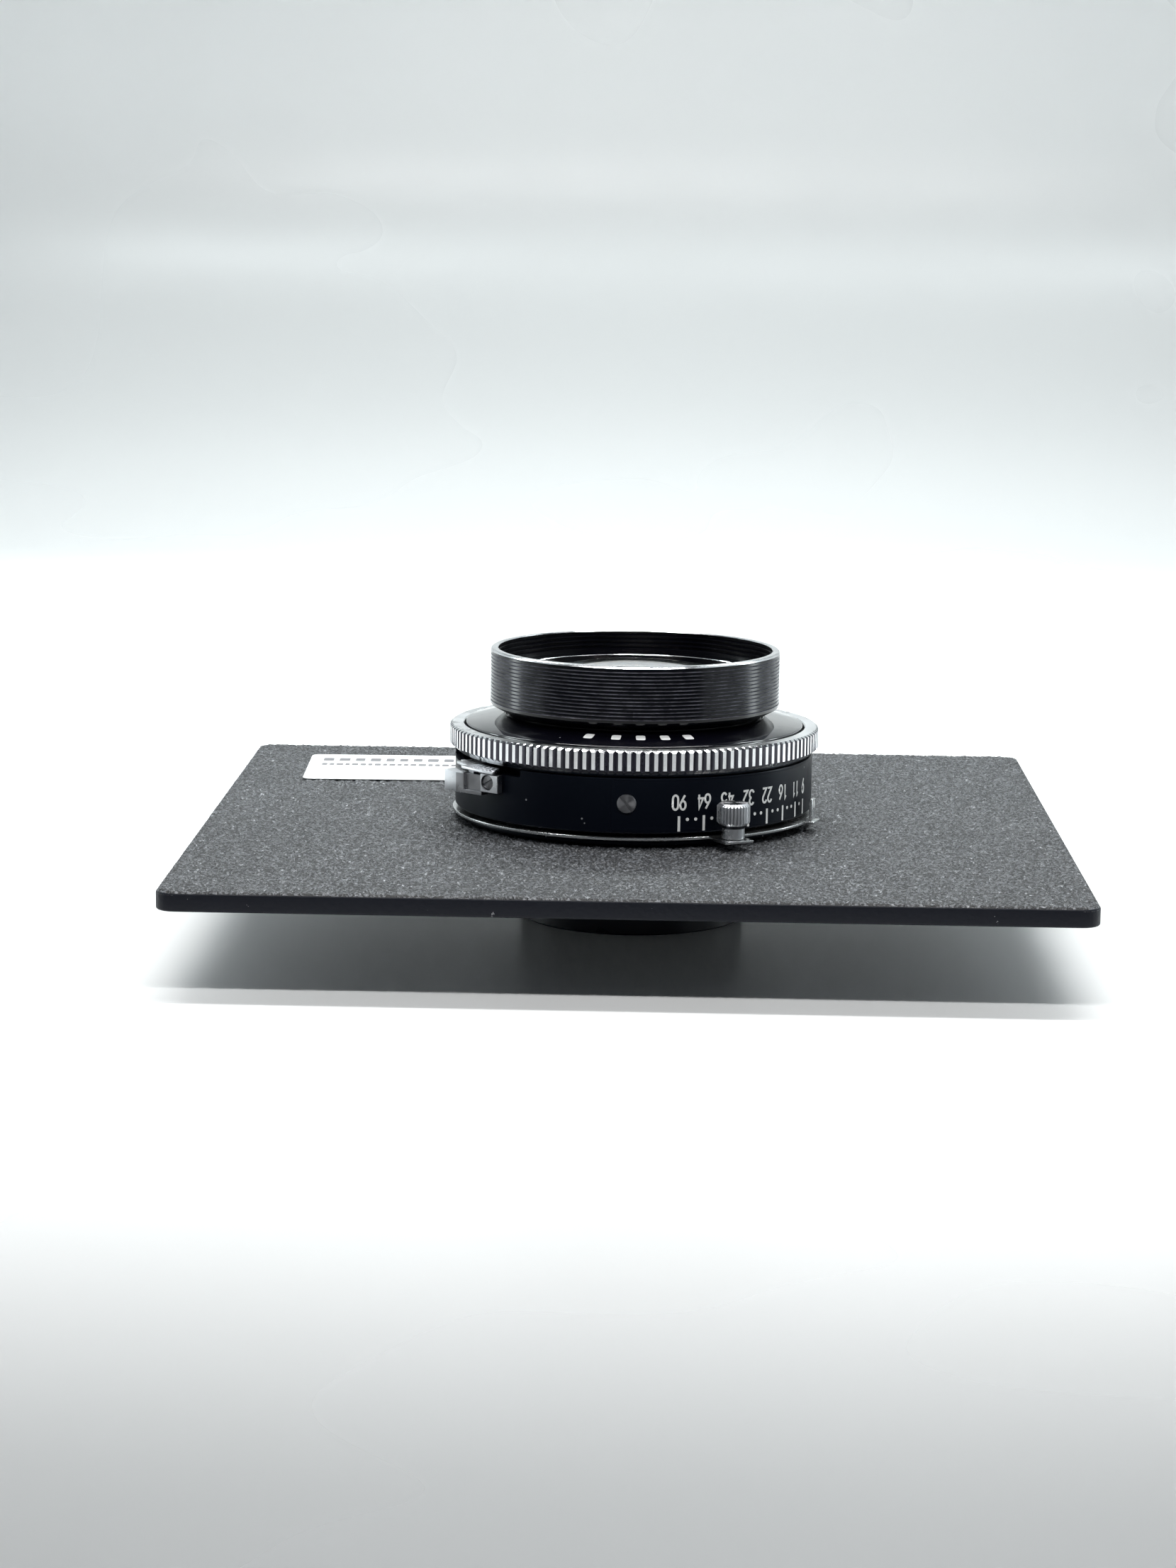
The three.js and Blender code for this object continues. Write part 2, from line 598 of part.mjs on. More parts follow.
/** The cocking lever about its own pivot: toothed sector, hub and arm with a bent finger tab. */
function cockingLever() {
  const { bottom, top, reach, width, travel } = COCKING;
  const wheel = gear(TRAIN.sector, train.sectorPhase, bottom, top);
  const spare = rad(7);
  const wedge = new THREE.Shape();
  wedge.moveTo(0, 0);
  wedge.absarc(0, 0, 9, train.sectorPhase - rad(travel) - spare, train.sectorPhase + spare);
  const sector = common(wheel, plate(wedge, bottom - 1, top + 1, 8));
  const hub = pin(0, 0, STUD.hub, bottom, top, 20);
  const length = reach - TRAIN.radius;
  const arm = block(0, length, width, bottom, top);
  const tab = block(length - 0.8, length, width + 1.6, bottom, COCKING.tab);
  const restTurn = bearing(TRAIN.azimuth) - rad(travel / 2);
  const lever = join(sector, hub, arm.rotateZ(restTurn), tab.rotateZ(restTurn));
  return cut(lever, pin(0, 0, STUD.radius + 0.12, bottom - 1, top + 1, 16));
}

/** A gear wheel about its own arbor. */
function trainWheel(teeth, phase) {
  const wheel = gear(teeth, phase, COCKING.bottom, COCKING.top);
  return cut(wheel, pin(0, 0, STUD.radius + 0.12, COCKING.bottom - 1, COCKING.top + 1, 16));
}

/** A headed stud that stands on the deck and carries a lever or wheel. */
function stud() {
  const headBottom = COCKING.top + 0.1;
  return disc([
    [0, DECK.top + 0.1],
    [STUD.radius, DECK.top + 0.1],
    [STUD.radius, headBottom],
    [STUD.radius + 0.45, headBottom],
    [STUD.radius + 0.45, STUD.top],
    [0, STUD.top],
  ], 12);
}

/** A helical tension spring laid along +X from the origin. */
function coilSpring(length, radius, wire, turns) {
  class Helix extends THREE.Curve {
    getPoint(part, target = new THREE.Vector3()) {
      const angle = 2 * Math.PI * turns * part;
      return target.set(length * part, radius * Math.cos(angle), radius * Math.sin(angle));
    }
  }
  const section = new THREE.Shape(circle(wire, 4));
  const options = { steps: turns * 7, extrudePath: new Helix(), bevelEnabled: false };
  return new THREE.ExtrudeGeometry(section, options);
}

function speedRing() {
  const { inner, outer, foot, bottom, top } = SPEED_RING;
  const teeth = new THREE.Shape(Array.from({ length: 2 * KNURL.teeth }, (_, i) => {
    const radius = i % 2 ? outer - KNURL.depth : outer;
    return polar(radius, (i / KNURL.teeth) * Math.PI);
  }));
  holeIn(teeth, inner + 0.5, ROUND);
  const knurl = plate(teeth, KNURL.bottom, KNURL.top);
  const core = turn([
    [inner, bottom],
    [foot, bottom],
    [outer - KNURL.depth - 0.2, KNURL.bottom + 0.1],
    [outer - KNURL.depth - 0.2, KNURL.top - 0.1],
    [KNURL.shoulder - 0.3, top],
    [inner, top],
  ]);
  return join(core, knurl);
}

/** The front plate, a shallow cone that rises towards the lens. */
function facePlate() {
  return turn([
    [FACE.inner, FACE.bottom],
    [FACE.outer, FACE.bottom],
    [FACE.outer, FACE.top],
    [FACE.inner, FACE.innerTop],
  ]);
}

function releaseLever() {
  const { bottom, top, inner, outer, start, end } = LEVER;
  const part = (piece, from, to, foot = bottom) => (
    arcBlock(piece.inner, piece.outer, from, to, foot, top)
  );
  const pieces = [
    part(LEVER_NECK, LEVER_NECK.start, start + 1),
    part(LEVER_HOOK, LEVER_HOOK.start, LEVER_HOOK.end),
    part(LEVER_TAB, LEVER_TAB.start, LEVER_TAB.end, LEVER_TAB.bottom),
  ];
  for (let i = 0; i < RIDGE.count; i += 1) {
    const ridge = block(RIDGE.inner, RIDGE.outer, RIDGE.width, top - 0.1, top + RIDGE.height);
    pieces.push(swing(ridge, end - RIDGE.first - RIDGE.pitch * i));
  }
  return join(arcBlock(inner, outer, start, end, bottom, top), ...pieces);
}

/** A block of the cable-release bracket, which points along +X before it is swung round. */
function bracketBlock({ start, end, back = BRACKET.back, bottom, top }) {
  const geometry = new THREE.BoxGeometry(BRACKET.face - back, end - start, top - bottom);
  return geometry.translate((BRACKET.face + back) / 2, (start + end) / 2, (bottom + top) / 2);
}

/** The bracket: a threaded block for the cable, a bar below the lever's tab and a screwed lug. */
function cableSocket() {
  const body = disc([
    [0, SOCKET.bottom - 1],
    [BRACKET.clear, SOCKET.bottom - 1],
    [BRACKET.clear, LUG.top + 1],
    [0, LUG.top + 1],
  ], 72);
  const thread = pin(0, 0, SOCKET_THREAD.radius, SOCKET.start - 1, SOCKET.end + 1, 14);
  thread.rotateX(-Math.PI / 2).translate(SOCKET_THREAD.out, 0, SOCKET_THREAD.z);
  const { along, z, seat, head, hole } = LUG_SCREW;
  const bore = radialPin(hole, BRACKET.back - 1, BRACKET.face + 1, z, 12).translate(0, along, 0);
  const sink = radialPin(head + 0.15, seat - 0.05, BRACKET.face + 1, z, 20).translate(0, along, 0);
  const whole = join(bracketBlock(SOCKET), bracketBlock(BAR), bracketBlock(LUG));
  return swing(cut(whole, body, thread, bore, sink), BRACKET.azimuth);
}

function syncTerminal() {
  const { outer, inner, start, end, z } = SYNC;
  return cut(radialPin(outer, start, end, z, 20), radialPin(inner, start + 1.2, end + 1, z, 16));
}

// ---------------------------------------------------------------- lens cells

function frontBarrel() {
  const flange = THROAT.top + GAP;
  return turn([
    [FRONT.bore, FRONT.foot],
    [FRONT.sleeve, FRONT.foot],
    [FRONT.sleeve, flange],
    [FRONT.shoulder, flange],
    [FRONT.shoulder, FRONT.neckBottom],
    [FRONT.neck, FRONT.neckBottom],
    [FRONT.neck, FRONT.neckTop],
    [FRONT.barrel, FRONT.flareTop],
    [FRONT.barrel, FRONT.rim],
    [FRONT.filter, FRONT.rim],
    [FRONT.filter, FRONT.seatTop],
    [FRONT.seat, FRONT.seatTop],
    [FRONT.seat, FRONT.ledge],
    [FRONT.cell, FRONT.ledge],
    [FRONT.cell, FRONT.step],
    [FRONT.bore, FRONT.step],
  ], 36);
}

/** Spanner notches that cut a retaining ring's face between two heights. */
function notchesIn(retainer, outer, bottom, top) {
  return retainer.azimuths.map((azimuth) => (
    swing(block(retainer.notchInner, outer, RETAINER.notch, bottom, top), azimuth)
  ));
}

function frontRetainer() {
  const { inner, bottom, top } = FRONT_RETAINER;
  const whole = ring(inner, FRONT.filter - GAP, bottom, top);
  return cut(whole, ...notchesIn(FRONT_RETAINER, FRONT.filter, top - RETAINER.notchDepth, top + 1));
}

/** Points of a spherical surface from the axis out to a radius. */
function dome(radius, apex, edge, steps = 3) {
  return Array.from({ length: steps + 1 }, (_, i) => {
    const part = i / steps;
    return [radius * part, apex + (edge - apex) * part * part];
  });
}

/** A lens element from the two heights, at the axis and at the edge, of its lower and upper faces. */
function element({ radius, lower, upper }) {
  return disc([
    ...dome(radius, ...lower),
    ...dome(radius, ...upper).reverse(),
  ], 24);
}

function rearBarrel() {
  return turn([
    [REAR.bore, 0],
    [REAR.outer, 0],
    [REAR.outer, REAR.top],
    [REAR.neck, REAR.top],
    [REAR.neck, REAR.step],
    [REAR.throat, REAR.step],
    [REAR.throat, REAR.seat],
    [REAR.bore, REAR.seat],
  ], SMALL_ROUND);
}

function rearRetainer() {
  const { inner, bottom, top } = REAR_RETAINER;
  const whole = ring(inner, REAR.bore - GAP, bottom, top, SMALL_ROUND);
  return cut(whole, ...notchesIn(REAR_RETAINER, REAR.bore + 1, 0, bottom + RETAINER.notchDepth));
}

// ---------------------------------------------------------------- assembly

const lens = new THREE.Group();

function add(name, geometry, material, group = lens) {
  const mesh = new THREE.Mesh(geometry, material);
  mesh.name = name;
  group.add(mesh);
  return mesh;
}

function addBoard() {
  const board = new THREE.Group();
  add('lens_board', lensBoard(), FINISH.wrinkle, board);
  const label = add('board_label', boardLabel(), FINISH.paper, board);
  label.position.set(LABEL.x, LABEL.y, BOARD.top + PAPER.lift);
  add('board_nut', boardNut(), FINISH.satinBlack, board);
  lens.add(board);
}

function addShutter() {
  const shutter = new THREE.Group();
  add('rear_mount', rearMount(), FINISH.satinBlack, shutter);
  add('shutter_housing', shutterHousing(), FINISH.satinBlack, shutter);
  add('aperture_scale_plate', scalePlate(), FINISH.satinBlack, shutter);
  const screw = slottedScrew(
    SCALE_SCREW.z,
    BODY.radius + 0.05,
    SCALE_SCREW.radius,
    0.3,
    SCALE_SCREW.shank,
    BODY.inner + 0.1,
    rad(-45),
  );
  add('scale_plate_screw', swing(screw, SCALE_SCREW.azimuth), FINISH.steel, shutter);
  add('aperture_ring', apertureRing(), FINISH.chrome, shutter);
  const knob = add('aperture_knob', apertureKnob(), FINISH.chrome, shutter);
  const knobAt = polar(KNOB.at, bearing(KNOB.azimuth));
  knob.position.set(knobAt.x, knobAt.y, 0);
  for (let i = 0; i < IRIS.count; i += 1) {
    const blade = add(`iris_blade_${i + 1}`, irisBlade(i), FINISH.blued, shutter);
    blade.rotation.z = (i / IRIS.count) * 2 * Math.PI;
  }
  add('blade_divider', divider(), FINISH.blued, shutter);
  for (let i = 0; i < LEAF.count; i += 1) {
    const leaf = add(`shutter_blade_${i + 1}`, shutterLeaf(i), FINISH.blued, shutter);
    leaf.rotation.z = (i / LEAF.count) * 2 * Math.PI + LEAF_TURN;
  }
  add('blade_drive_ring', driveRing(), FINISH.chrome, shutter);
  add('mechanism_deck', deck(), FINISH.satinBlack, shutter);
  const lid = ring(LID.inner, LID.outer, LID.bottom, LID.top, SMALL_ROUND);
  add('mechanism_lid', lid, FINISH.satinBlack, shutter);
  add('speed_cam', speedCam(), FINISH.steel, shutter);
  add('speed_ring', speedRing(), FINISH.chrome, shutter);
  add('face_plate', facePlate(), FINISH.glossBlack, shutter);
  add('release_lever', releaseLever(), FINISH.chrome, shutter);
  add('cable_release_socket', cableSocket(), FINISH.chrome, shutter);
  const { along, z, seat, head, shank, foot } = LUG_SCREW;
  const holder = slottedScrew(z, seat, head, 0.4, shank, foot, rad(-30)).translate(0, along, 0);
  add('cable_socket_screw', swing(holder, BRACKET.azimuth), FINISH.steel, shutter);
  add('sync_terminal', swing(syncTerminal(), SYNC.azimuth), FINISH.chrome, shutter);
  const contact = radialPin(SYNC_PIN.radius, SYNC_PIN.start, SYNC_PIN.end, SYNC.z, 8);
  add('sync_contact', swing(contact, SYNC.azimuth), FINISH.brass, shutter);
  lens.add(shutter);
}

function addGearTrain() {
  const works = new THREE.Group();
  const wheels = [
    ['cocking_lever', cockingLever(), FINISH.chrome],
    ['retard_gear', trainWheel(TRAIN.retard, train.retardPhase), FINISH.brass],
    ['escape_wheel', trainWheel(TRAIN.escape, train.escapePhase), FINISH.brass],
  ];
  wheels.forEach(([name, geometry, material], i) => {
    const { x, y } = train.centres[i];
    add(name, geometry, material, works).position.set(x, y, 0);
    add(`${name}_stud`, stud(), FINISH.steel, works).position.set(x, y, 0);
  });
  const { length, radius, wire, turns } = SPRING;
  const spring = add('main_spring', coilSpring(length, radius, wire, turns), FINISH.steel, works);
  const azimuth = TRAIN.azimuth + SPRING.from;
  const from = polar(TRAIN.radius, bearing(azimuth));
  spring.position.set(from.x, from.y, SPRING.z);
  spring.rotation.z = bearing(azimuth + SPRING.lean);
  lens.add(works);
}

function addCells() {
  const front = new THREE.Group();
  add('front_barrel', frontBarrel(), FINISH.satinBlack, front);
  add('front_retaining_ring', frontRetainer(), FINISH.satinBlack, front);
  const rear = new THREE.Group();
  add('rear_barrel', rearBarrel(), FINISH.satinBlack, rear);
  add('rear_retaining_ring', rearRetainer(), FINISH.satinBlack, rear);
  const cellOf = (name) => (name.startsWith('front') ? front : rear);
  for (const [name, { inner, outer, bottom, top }] of Object.entries(SPACERS)) {
    add(name, ring(inner, outer, bottom, top, SMALL_ROUND), FINISH.satinBlack, cellOf(name));
  }
  for (const [name, glass] of Object.entries(GLASSES)) {
    add(name, element(glass), FINISH.glass, cellOf(name));
  }
  lens.add(front, rear);
}

addBoard();
addShutter();
addGearTrain();
addCells();

export default lens;
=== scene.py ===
"""A large-format lens in a leaf shutter on a square lensboard, standing on its rear barrel.

Lengths in the modelling functions are in millimetres, heights are above the surface the
object stands on, and azimuth 0 is -Y and grows towards +X. Meshes are stored in metres.
"""
import math
import random

import bmesh
import bpy
from mathutils import Matrix, Vector, noise


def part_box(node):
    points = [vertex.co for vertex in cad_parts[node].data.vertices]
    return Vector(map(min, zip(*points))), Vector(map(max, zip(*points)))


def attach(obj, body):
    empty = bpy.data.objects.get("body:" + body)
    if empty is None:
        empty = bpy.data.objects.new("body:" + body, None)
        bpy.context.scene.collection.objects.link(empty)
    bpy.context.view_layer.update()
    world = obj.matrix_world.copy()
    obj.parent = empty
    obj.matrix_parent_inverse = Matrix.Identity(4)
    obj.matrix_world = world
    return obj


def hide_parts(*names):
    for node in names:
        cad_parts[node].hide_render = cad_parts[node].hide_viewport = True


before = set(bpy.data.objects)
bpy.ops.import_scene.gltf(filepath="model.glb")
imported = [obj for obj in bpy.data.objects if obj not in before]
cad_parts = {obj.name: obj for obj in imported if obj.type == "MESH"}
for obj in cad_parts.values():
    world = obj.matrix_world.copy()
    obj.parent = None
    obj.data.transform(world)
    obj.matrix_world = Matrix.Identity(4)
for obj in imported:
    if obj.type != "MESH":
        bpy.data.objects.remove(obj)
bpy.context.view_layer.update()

MM = 0.001
ROOT = "lens_and_board"
random.seed(7)


# ---- sizes read from the frame

def low(node):
    """Lowest corner of a CAD node, in millimetres."""
    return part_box(node)[0] / MM


def high(node):
    """Highest corner of a CAD node, in millimetres."""
    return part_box(node)[1] / MM


BOARD_BOTTOM = low("lens_board").z
BOARD_TOP = high("lens_board").z
BOARD_HALF = high("lens_board").x
BODY_R = high("shutter_housing").x
BODY_BOTTOM = low("shutter_housing").z
BODY_TOP = high("shutter_housing").z
RING_R = high("speed_ring").x
RING_BOTTOM = low("speed_ring").z
RING_TOP = high("speed_ring").z
FACE_R = high("face_plate").x
FACE_EDGE = low("face_plate").z + 0.45
FACE_TOP = high("face_plate").z
BARREL_R = high("front_barrel").x
RIM_TOP = high("front_barrel").z
REAR_R = high("rear_barrel").x
APERTURE_BOTTOM = low("aperture_ring").z
LEVER_TOP = 27.25
MERGE = 1e-4  # corners closer than this become one
FULL_TURN = 2 * math.pi

# Azimuths of the parts that stand out of the body, in degrees.
KNOB_AZ, KNOB_AT = 29.2, 33.2
POINTER_AZ = 70.0
SCALE_SCREW_AZ, SCALE_SCREW_Z = -1.4, 23.6
SYNC_AZ, SYNC_Z = 228.0, 22.2
PREVIEW_AZ = 185.0
COCKING_AZ = 150.0


# ---- mesh helpers

def bearing(azimuth):
    """An azimuth in degrees as an angle from +X in radians."""
    return math.radians(azimuth - 90.0)


def polar(radius, angle):
    return (radius * math.cos(angle), radius * math.sin(angle))


def arc(radius, start, end, steps, centre=(0.0, 0.0)):
    """Points of an arc between two angles in radians."""
    points = []
    for i in range(steps + 1):
        x, y = polar(radius, start + (end - start) * i / steps)
        points.append((centre[0] + x, centre[1] + y))
    return points


def circle(radius, sides, centre=(0.0, 0.0)):
    """Points of a whole circle, with the first one not repeated."""
    return arc(radius, 0, FULL_TURN * (sides - 1) / sides, sides - 1, centre)


def link_object(name, data):
    obj = bpy.data.objects.new(name, data)
    bpy.context.scene.collection.objects.link(obj)
    return obj


def as_mesh(name, bm):
    """Turns a bmesh into a mesh and frees it."""
    mesh = bpy.data.meshes.new(name)
    bm.to_mesh(mesh)
    bm.free()
    return mesh


def clean(bm):
    bmesh.ops.remove_doubles(bm, verts=bm.verts, dist=MERGE)
    bmesh.ops.recalc_face_normals(bm, faces=bm.faces)


def show(obj, node, materials, body=ROOT):
    """Gives an object its materials and its body, and lets it take a CAD node's place."""
    for material in materials:
        obj.data.materials.append(material)
    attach(obj, body)
    if node:
        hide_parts(node)
    return obj


def to_object(name, node, bm, materials, body=ROOT, sharp=20.0):
    """Makes an object of a bmesh in millimetres, with smooth faces and sharp edges by angle."""
    clean(bm)
    bmesh.ops.scale(bm, vec=(MM, MM, MM), verts=bm.verts)
    for face in bm.faces:
        face.smooth = True
    for edge in bm.edges:
        if edge.is_manifold and edge.calc_face_angle() > math.radians(sharp):
            edge.smooth = False
    return show(link_object(name, as_mesh(name, bm)), node, materials, body)


def rounded_corner(a, here, b, steps):
    """Points of a curve from a to b whose ends point at the corner between them."""
    shares = [k / steps for k in range(steps + 1)]
    return [tuple(a * (1 - t) ** 2 + here * 2 * t * (1 - t) + b * t * t) for t in shares]


def soften(profile, radius, steps=2, closed=True):
    """Rounds the corners of a profile with small arcs."""
    count = len(profile)
    softened = []
    for i, point in enumerate(profile):
        if not closed and i in (0, count - 1):
            softened.append(point)
            continue
        here = Vector(point)
        before = Vector(profile[i - 1]) - here
        after = Vector(profile[(i + 1) % count]) - here
        reach = min(radius, 0.4 * before.length, 0.4 * after.length)
        if reach < 1e-3 or before.angle(after) > math.radians(172):
            softened.append(point)
            continue
        a = here + before.normalized() * reach
        b = here + after.normalized() * reach
        softened += rounded_corner(a, here, b, steps)
    return softened


def bridge(bm, one, two, closed=True):
    """Joins two rows of corners with faces; a row of a single corner makes a fan."""
    count = max(len(one), len(two))
    for k in range(count if closed else count - 1):
        j = (k + 1) % count
        corners = [one[k % len(one)], one[j % len(one)], two[j % len(two)], two[k % len(two)]]
        distinct = list(dict.fromkeys(corners))
        if len(distinct) > 2:
            bm.faces.new(distinct)


def turn_mesh(profile, sides, closed=True):
    """A bmesh of a profile of (radius, z) turned about +Z."""
    bm = bmesh.new()
    rings = []
    for r, z in profile:
        if r < 1e-6:
            rings.append([bm.verts.new((0.0, 0.0, z))])
            continue
        rings.append([bm.verts.new((*polar(r, FULL_TURN * k / sides), z)) for k in range(sides)])
    for one, two in zip(rings, rings[1:] + rings[:1] if closed else rings[1:]):
        bridge(bm, one, two)
    return bm


def evaluated(obj):
    """A bmesh of an object as its modifiers and bevels leave it."""
    bpy.context.view_layer.update()
    mesh = bpy.data.meshes.new_from_object(obj.evaluated_get(bpy.context.evaluated_depsgraph_get()))
    bm = bmesh.new()
    bm.from_mesh(mesh)
    bpy.data.meshes.remove(mesh)
    return bm


def outline_mesh(loops, bottom, top, bevel=0.0, steps=2):
    """A bmesh of a plate from closed loops of points, the first one outside, with bevelled edges."""
    curve = bpy.data.curves.new("outline", "CURVE")
    curve.dimensions = "2D"
    curve.fill_mode = "BOTH"
    curve.extrude = (top - bottom) / 2 - bevel
    curve.bevel_depth = bevel
    curve.bevel_resolution = steps if bevel else 0
    curve.offset = -bevel
    for loop in loops:
        spline = curve.splines.new("POLY")
        spline.points.add(len(loop) - 1)
        for point, (x, y) in zip(spline.points, loop):
            point.co = (x, y, 0.0, 1.0)
        spline.use_cyclic_u = True
    holder = link_object("outline", curve)
    bm = shift(evaluated(holder), z=(top + bottom) / 2)
    bmesh.ops.remove_doubles(bm, verts=bm.verts, dist=MERGE)
    bpy.data.objects.remove(holder)
    bpy.data.curves.remove(curve)
    return bm


def sector(inner, outer, start, end, steps=24, round_end=0.0, round_start=0.0, inner_end=None):
    """Outline of a stretch of a ring between two azimuths; the inner arc may end sooner."""
    points = arc(outer, bearing(start), bearing(end), steps)
    points += arc(inner, bearing(end if inner_end is None else inner_end), bearing(start), steps)
    count = steps + 1
    corners = {0: round_start, count - 1: round_end, count: round_end, 2 * count - 1: round_start}
    rounded = []
    for i, point in enumerate(points):
        radius = corners.get(i)
        if not radius:
            rounded.append(point)
            continue
        here = Vector(point)
        before = Vector(points[i - 1]) - here
        after = Vector(points[(i + 1) % len(points)]) - here
        a = here + before.normalized() * min(radius, 0.98 * before.length)
        b = here + after.normalized() * min(radius, 0.98 * after.length)
        rounded += rounded_corner(a, here, b, 6)
    return rounded


def box_mesh(size, centre, bevel=0.0, steps=2):
    """A bmesh of a block with bevelled edges."""
    bm = bmesh.new()
    bmesh.ops.create_cube(bm, size=1.0)
    bmesh.ops.scale(bm, vec=size, verts=bm.verts)
    if bevel:
        edges = list(bm.edges)
        bmesh.ops.bevel(bm, geom=edges, offset=bevel, segments=steps, profile=0.5, affect="EDGES")
    return shift(bm, *centre)


def pin_mesh(profile, sides=32):
    """A bmesh of an open profile that starts and ends on the axis."""
    return turn_mesh(profile, sides, closed=False)


def rod(radius, bottom, top, sides=32):
    return pin_mesh([(0.0, bottom), (radius, bottom), (radius, top), (0.0, top)], sides)


def shift(bm, x=0.0, y=0.0, z=0.0):
    bmesh.ops.translate(bm, vec=(x, y, z), verts=bm.verts)
    return bm


def turn(bm, angle, axis="Z", centre=(0.0, 0.0, 0.0)):
    bmesh.ops.rotate(bm, cent=centre, matrix=Matrix.Rotation(angle, 3, axis), verts=bm.verts)
    return bm


def swing(bm, azimuth):
    """Turns what points along +X round to an azimuth."""
    return turn(bm, bearing(azimuth))


def lay_radial(bm, z):
    """Turns what stands on +Z about the origin so that it points along +X at height z."""
    return shift(turn(bm, math.pi / 2, "Y"), z=z)


def merge(first, *others):
    """Puts the pieces of several bmeshes into the first one."""
    for other in others:
        mesh = as_mesh("part", other)
        first.from_mesh(mesh)
        bpy.data.meshes.remove(mesh)
    return first


def combine(first, second, operation):
    """The exact boolean of two closed bmeshes."""
    objects = []
    for bm in (first, second):
        clean(bm)
        objects.append(link_object("operand", as_mesh("operand", bm)))
    modifier = objects[0].modifiers.new("combine", "BOOLEAN")
    modifier.operation = operation
    modifier.solver = "EXACT"
    modifier.object = objects[1]
    bm = evaluated(objects[0])
    for obj in objects:
        mesh = obj.data
        bpy.data.objects.remove(obj)
        bpy.data.meshes.remove(mesh)
    return bm


def carve(bm, *tools):
    for tool in tools:
        bm = combine(bm, tool, "DIFFERENCE")
    return bm


def weld(bm, *others):
    for other in others:
        bm = combine(bm, other, "UNION")
    return bm


def paint(obj, choose):
    """Sets each face's material from its centre, given as (radius, z) in millimetres."""
    for face in obj.data.polygons:
        centre = face.center / MM
        face.material_index = choose(math.hypot(centre.x, centre.y), centre.z)


# ---- materials

class Look:
    """A node material with a Principled shader."""

    def __init__(self, name, color, roughness, metallic=0.0, **sockets):
        self.material = bpy.data.materials.new(name)
        self.material.use_nodes = True
        self.nodes = self.material.node_tree.nodes
        self.links = self.material.node_tree.links
        self.shader = self.nodes["Principled BSDF"]
        self.shader.inputs["Base Color"].default_value = (*color, 1.0)
        self.shader.inputs["Roughness"].default_value = roughness
        self.shader.inputs["Metallic"].default_value = metallic
        for socket, value in sockets.items():
            self.shader.inputs[socket.replace("_", " ")].default_value = value
        self.normal = None

    def node(self, kind, **settings):
        made = self.nodes.new(kind)
        for key, value in settings.items():
            if hasattr(made, key):
                setattr(made, key, value)
            else:
                made.inputs[key.replace("_", " ")].default_value = value
        return made

    def place(self, stretch=(1.0, 1.0, 1.0)):
        """Object coordinates, scaled."""
        coordinates = self.node("ShaderNodeTexCoord")
        mapping = self.node("ShaderNodeMapping")
        mapping.inputs["Scale"].default_value = stretch
        self.links.new(coordinates.outputs["Object"], mapping.inputs["Vector"])
        return mapping.outputs["Vector"]

    def math(self, operation, *values):
        node = self.node("ShaderNodeMath", operation=operation)
        for value, socket in zip(values, node.inputs):
            if isinstance(value, float):
                socket.default_value = value
            else:
                self.links.new(value, socket)
        return node.outputs[0]

    def round_place(self, around, height, outward):
        """Coordinates (angle, height, radius) about the optical axis, scaled."""
        split = self.node("ShaderNodeSeparateXYZ")
        self.links.new(self.place(), split.inputs[0])
        x, y, z = split.outputs
        square = self.math("ADD", self.math("MULTIPLY", x, x), self.math("MULTIPLY", y, y))
        values = (self.math("ARCTAN2", x, y), z, self.math("SQRT", square))
        joined = self.node("ShaderNodeCombineXYZ")
        for socket, value, scale in zip(joined.inputs, values, (around, height, outward)):
            self.links.new(self.math("MULTIPLY", value, scale), socket)
        return joined.outputs[0]

    def noise(self, where, scale, detail=3.0, rough=0.5, distortion=0.0):
        texture = self.node(
            "ShaderNodeTexNoise", Scale=scale, Detail=detail, Roughness=rough, Distortion=distortion
        )
        self.links.new(where, texture.inputs["Vector"])
        return texture.outputs["Fac"]

    def voronoi(self, where, scale):
        texture = self.node("ShaderNodeTexVoronoi", Scale=scale)
        self.links.new(where, texture.inputs["Vector"])
        return texture.outputs["Distance"]

    def ramp(self, value, low_at, low_value, high_at, high_value):
        """Maps a value between two stops, clamped outside them."""
        node = self.node(
            "ShaderNodeMapRange", clamp=True,
            From_Min=low_at, From_Max=high_at, To_Min=low_value, To_Max=high_value,
        )
        self.links.new(value, node.inputs["Value"])
        return node.outputs["Result"]

    def tint(self, factor, one, two):
        """Base colour between two colours."""
        mix = self.node("ShaderNodeMix", data_type="RGBA")
        colors = {"A": one, "B": two}
        for socket in mix.inputs:
            if socket.type == "RGBA":
                socket.default_value = (*colors[socket.name], 1.0)
        self.links.new(factor, mix.inputs["Factor"])
        output = next(o for o in mix.outputs if o.type == "RGBA")
        self.links.new(output, self.shader.inputs["Base Color"])

    def vary_gloss(self, scale, detail, *stops):
        """Lets the roughness wander between two values."""
        self.set("Roughness", self.ramp(self.noise(self.place(), scale, detail), *stops))

    def set(self, socket, value):
        self.links.new(value, self.shader.inputs[socket])

    def bump(self, height, strength, distance):
        """Adds a bump of a height in 0..1; distance is in metres."""
        node = self.node("ShaderNodeBump", Strength=strength, Distance=distance)
        self.links.new(height, node.inputs["Height"])
        if self.normal:
            self.links.new(self.normal, node.inputs["Normal"])
        self.normal = node.outputs["Normal"]
        self.links.new(self.normal, self.shader.inputs["Normal"])


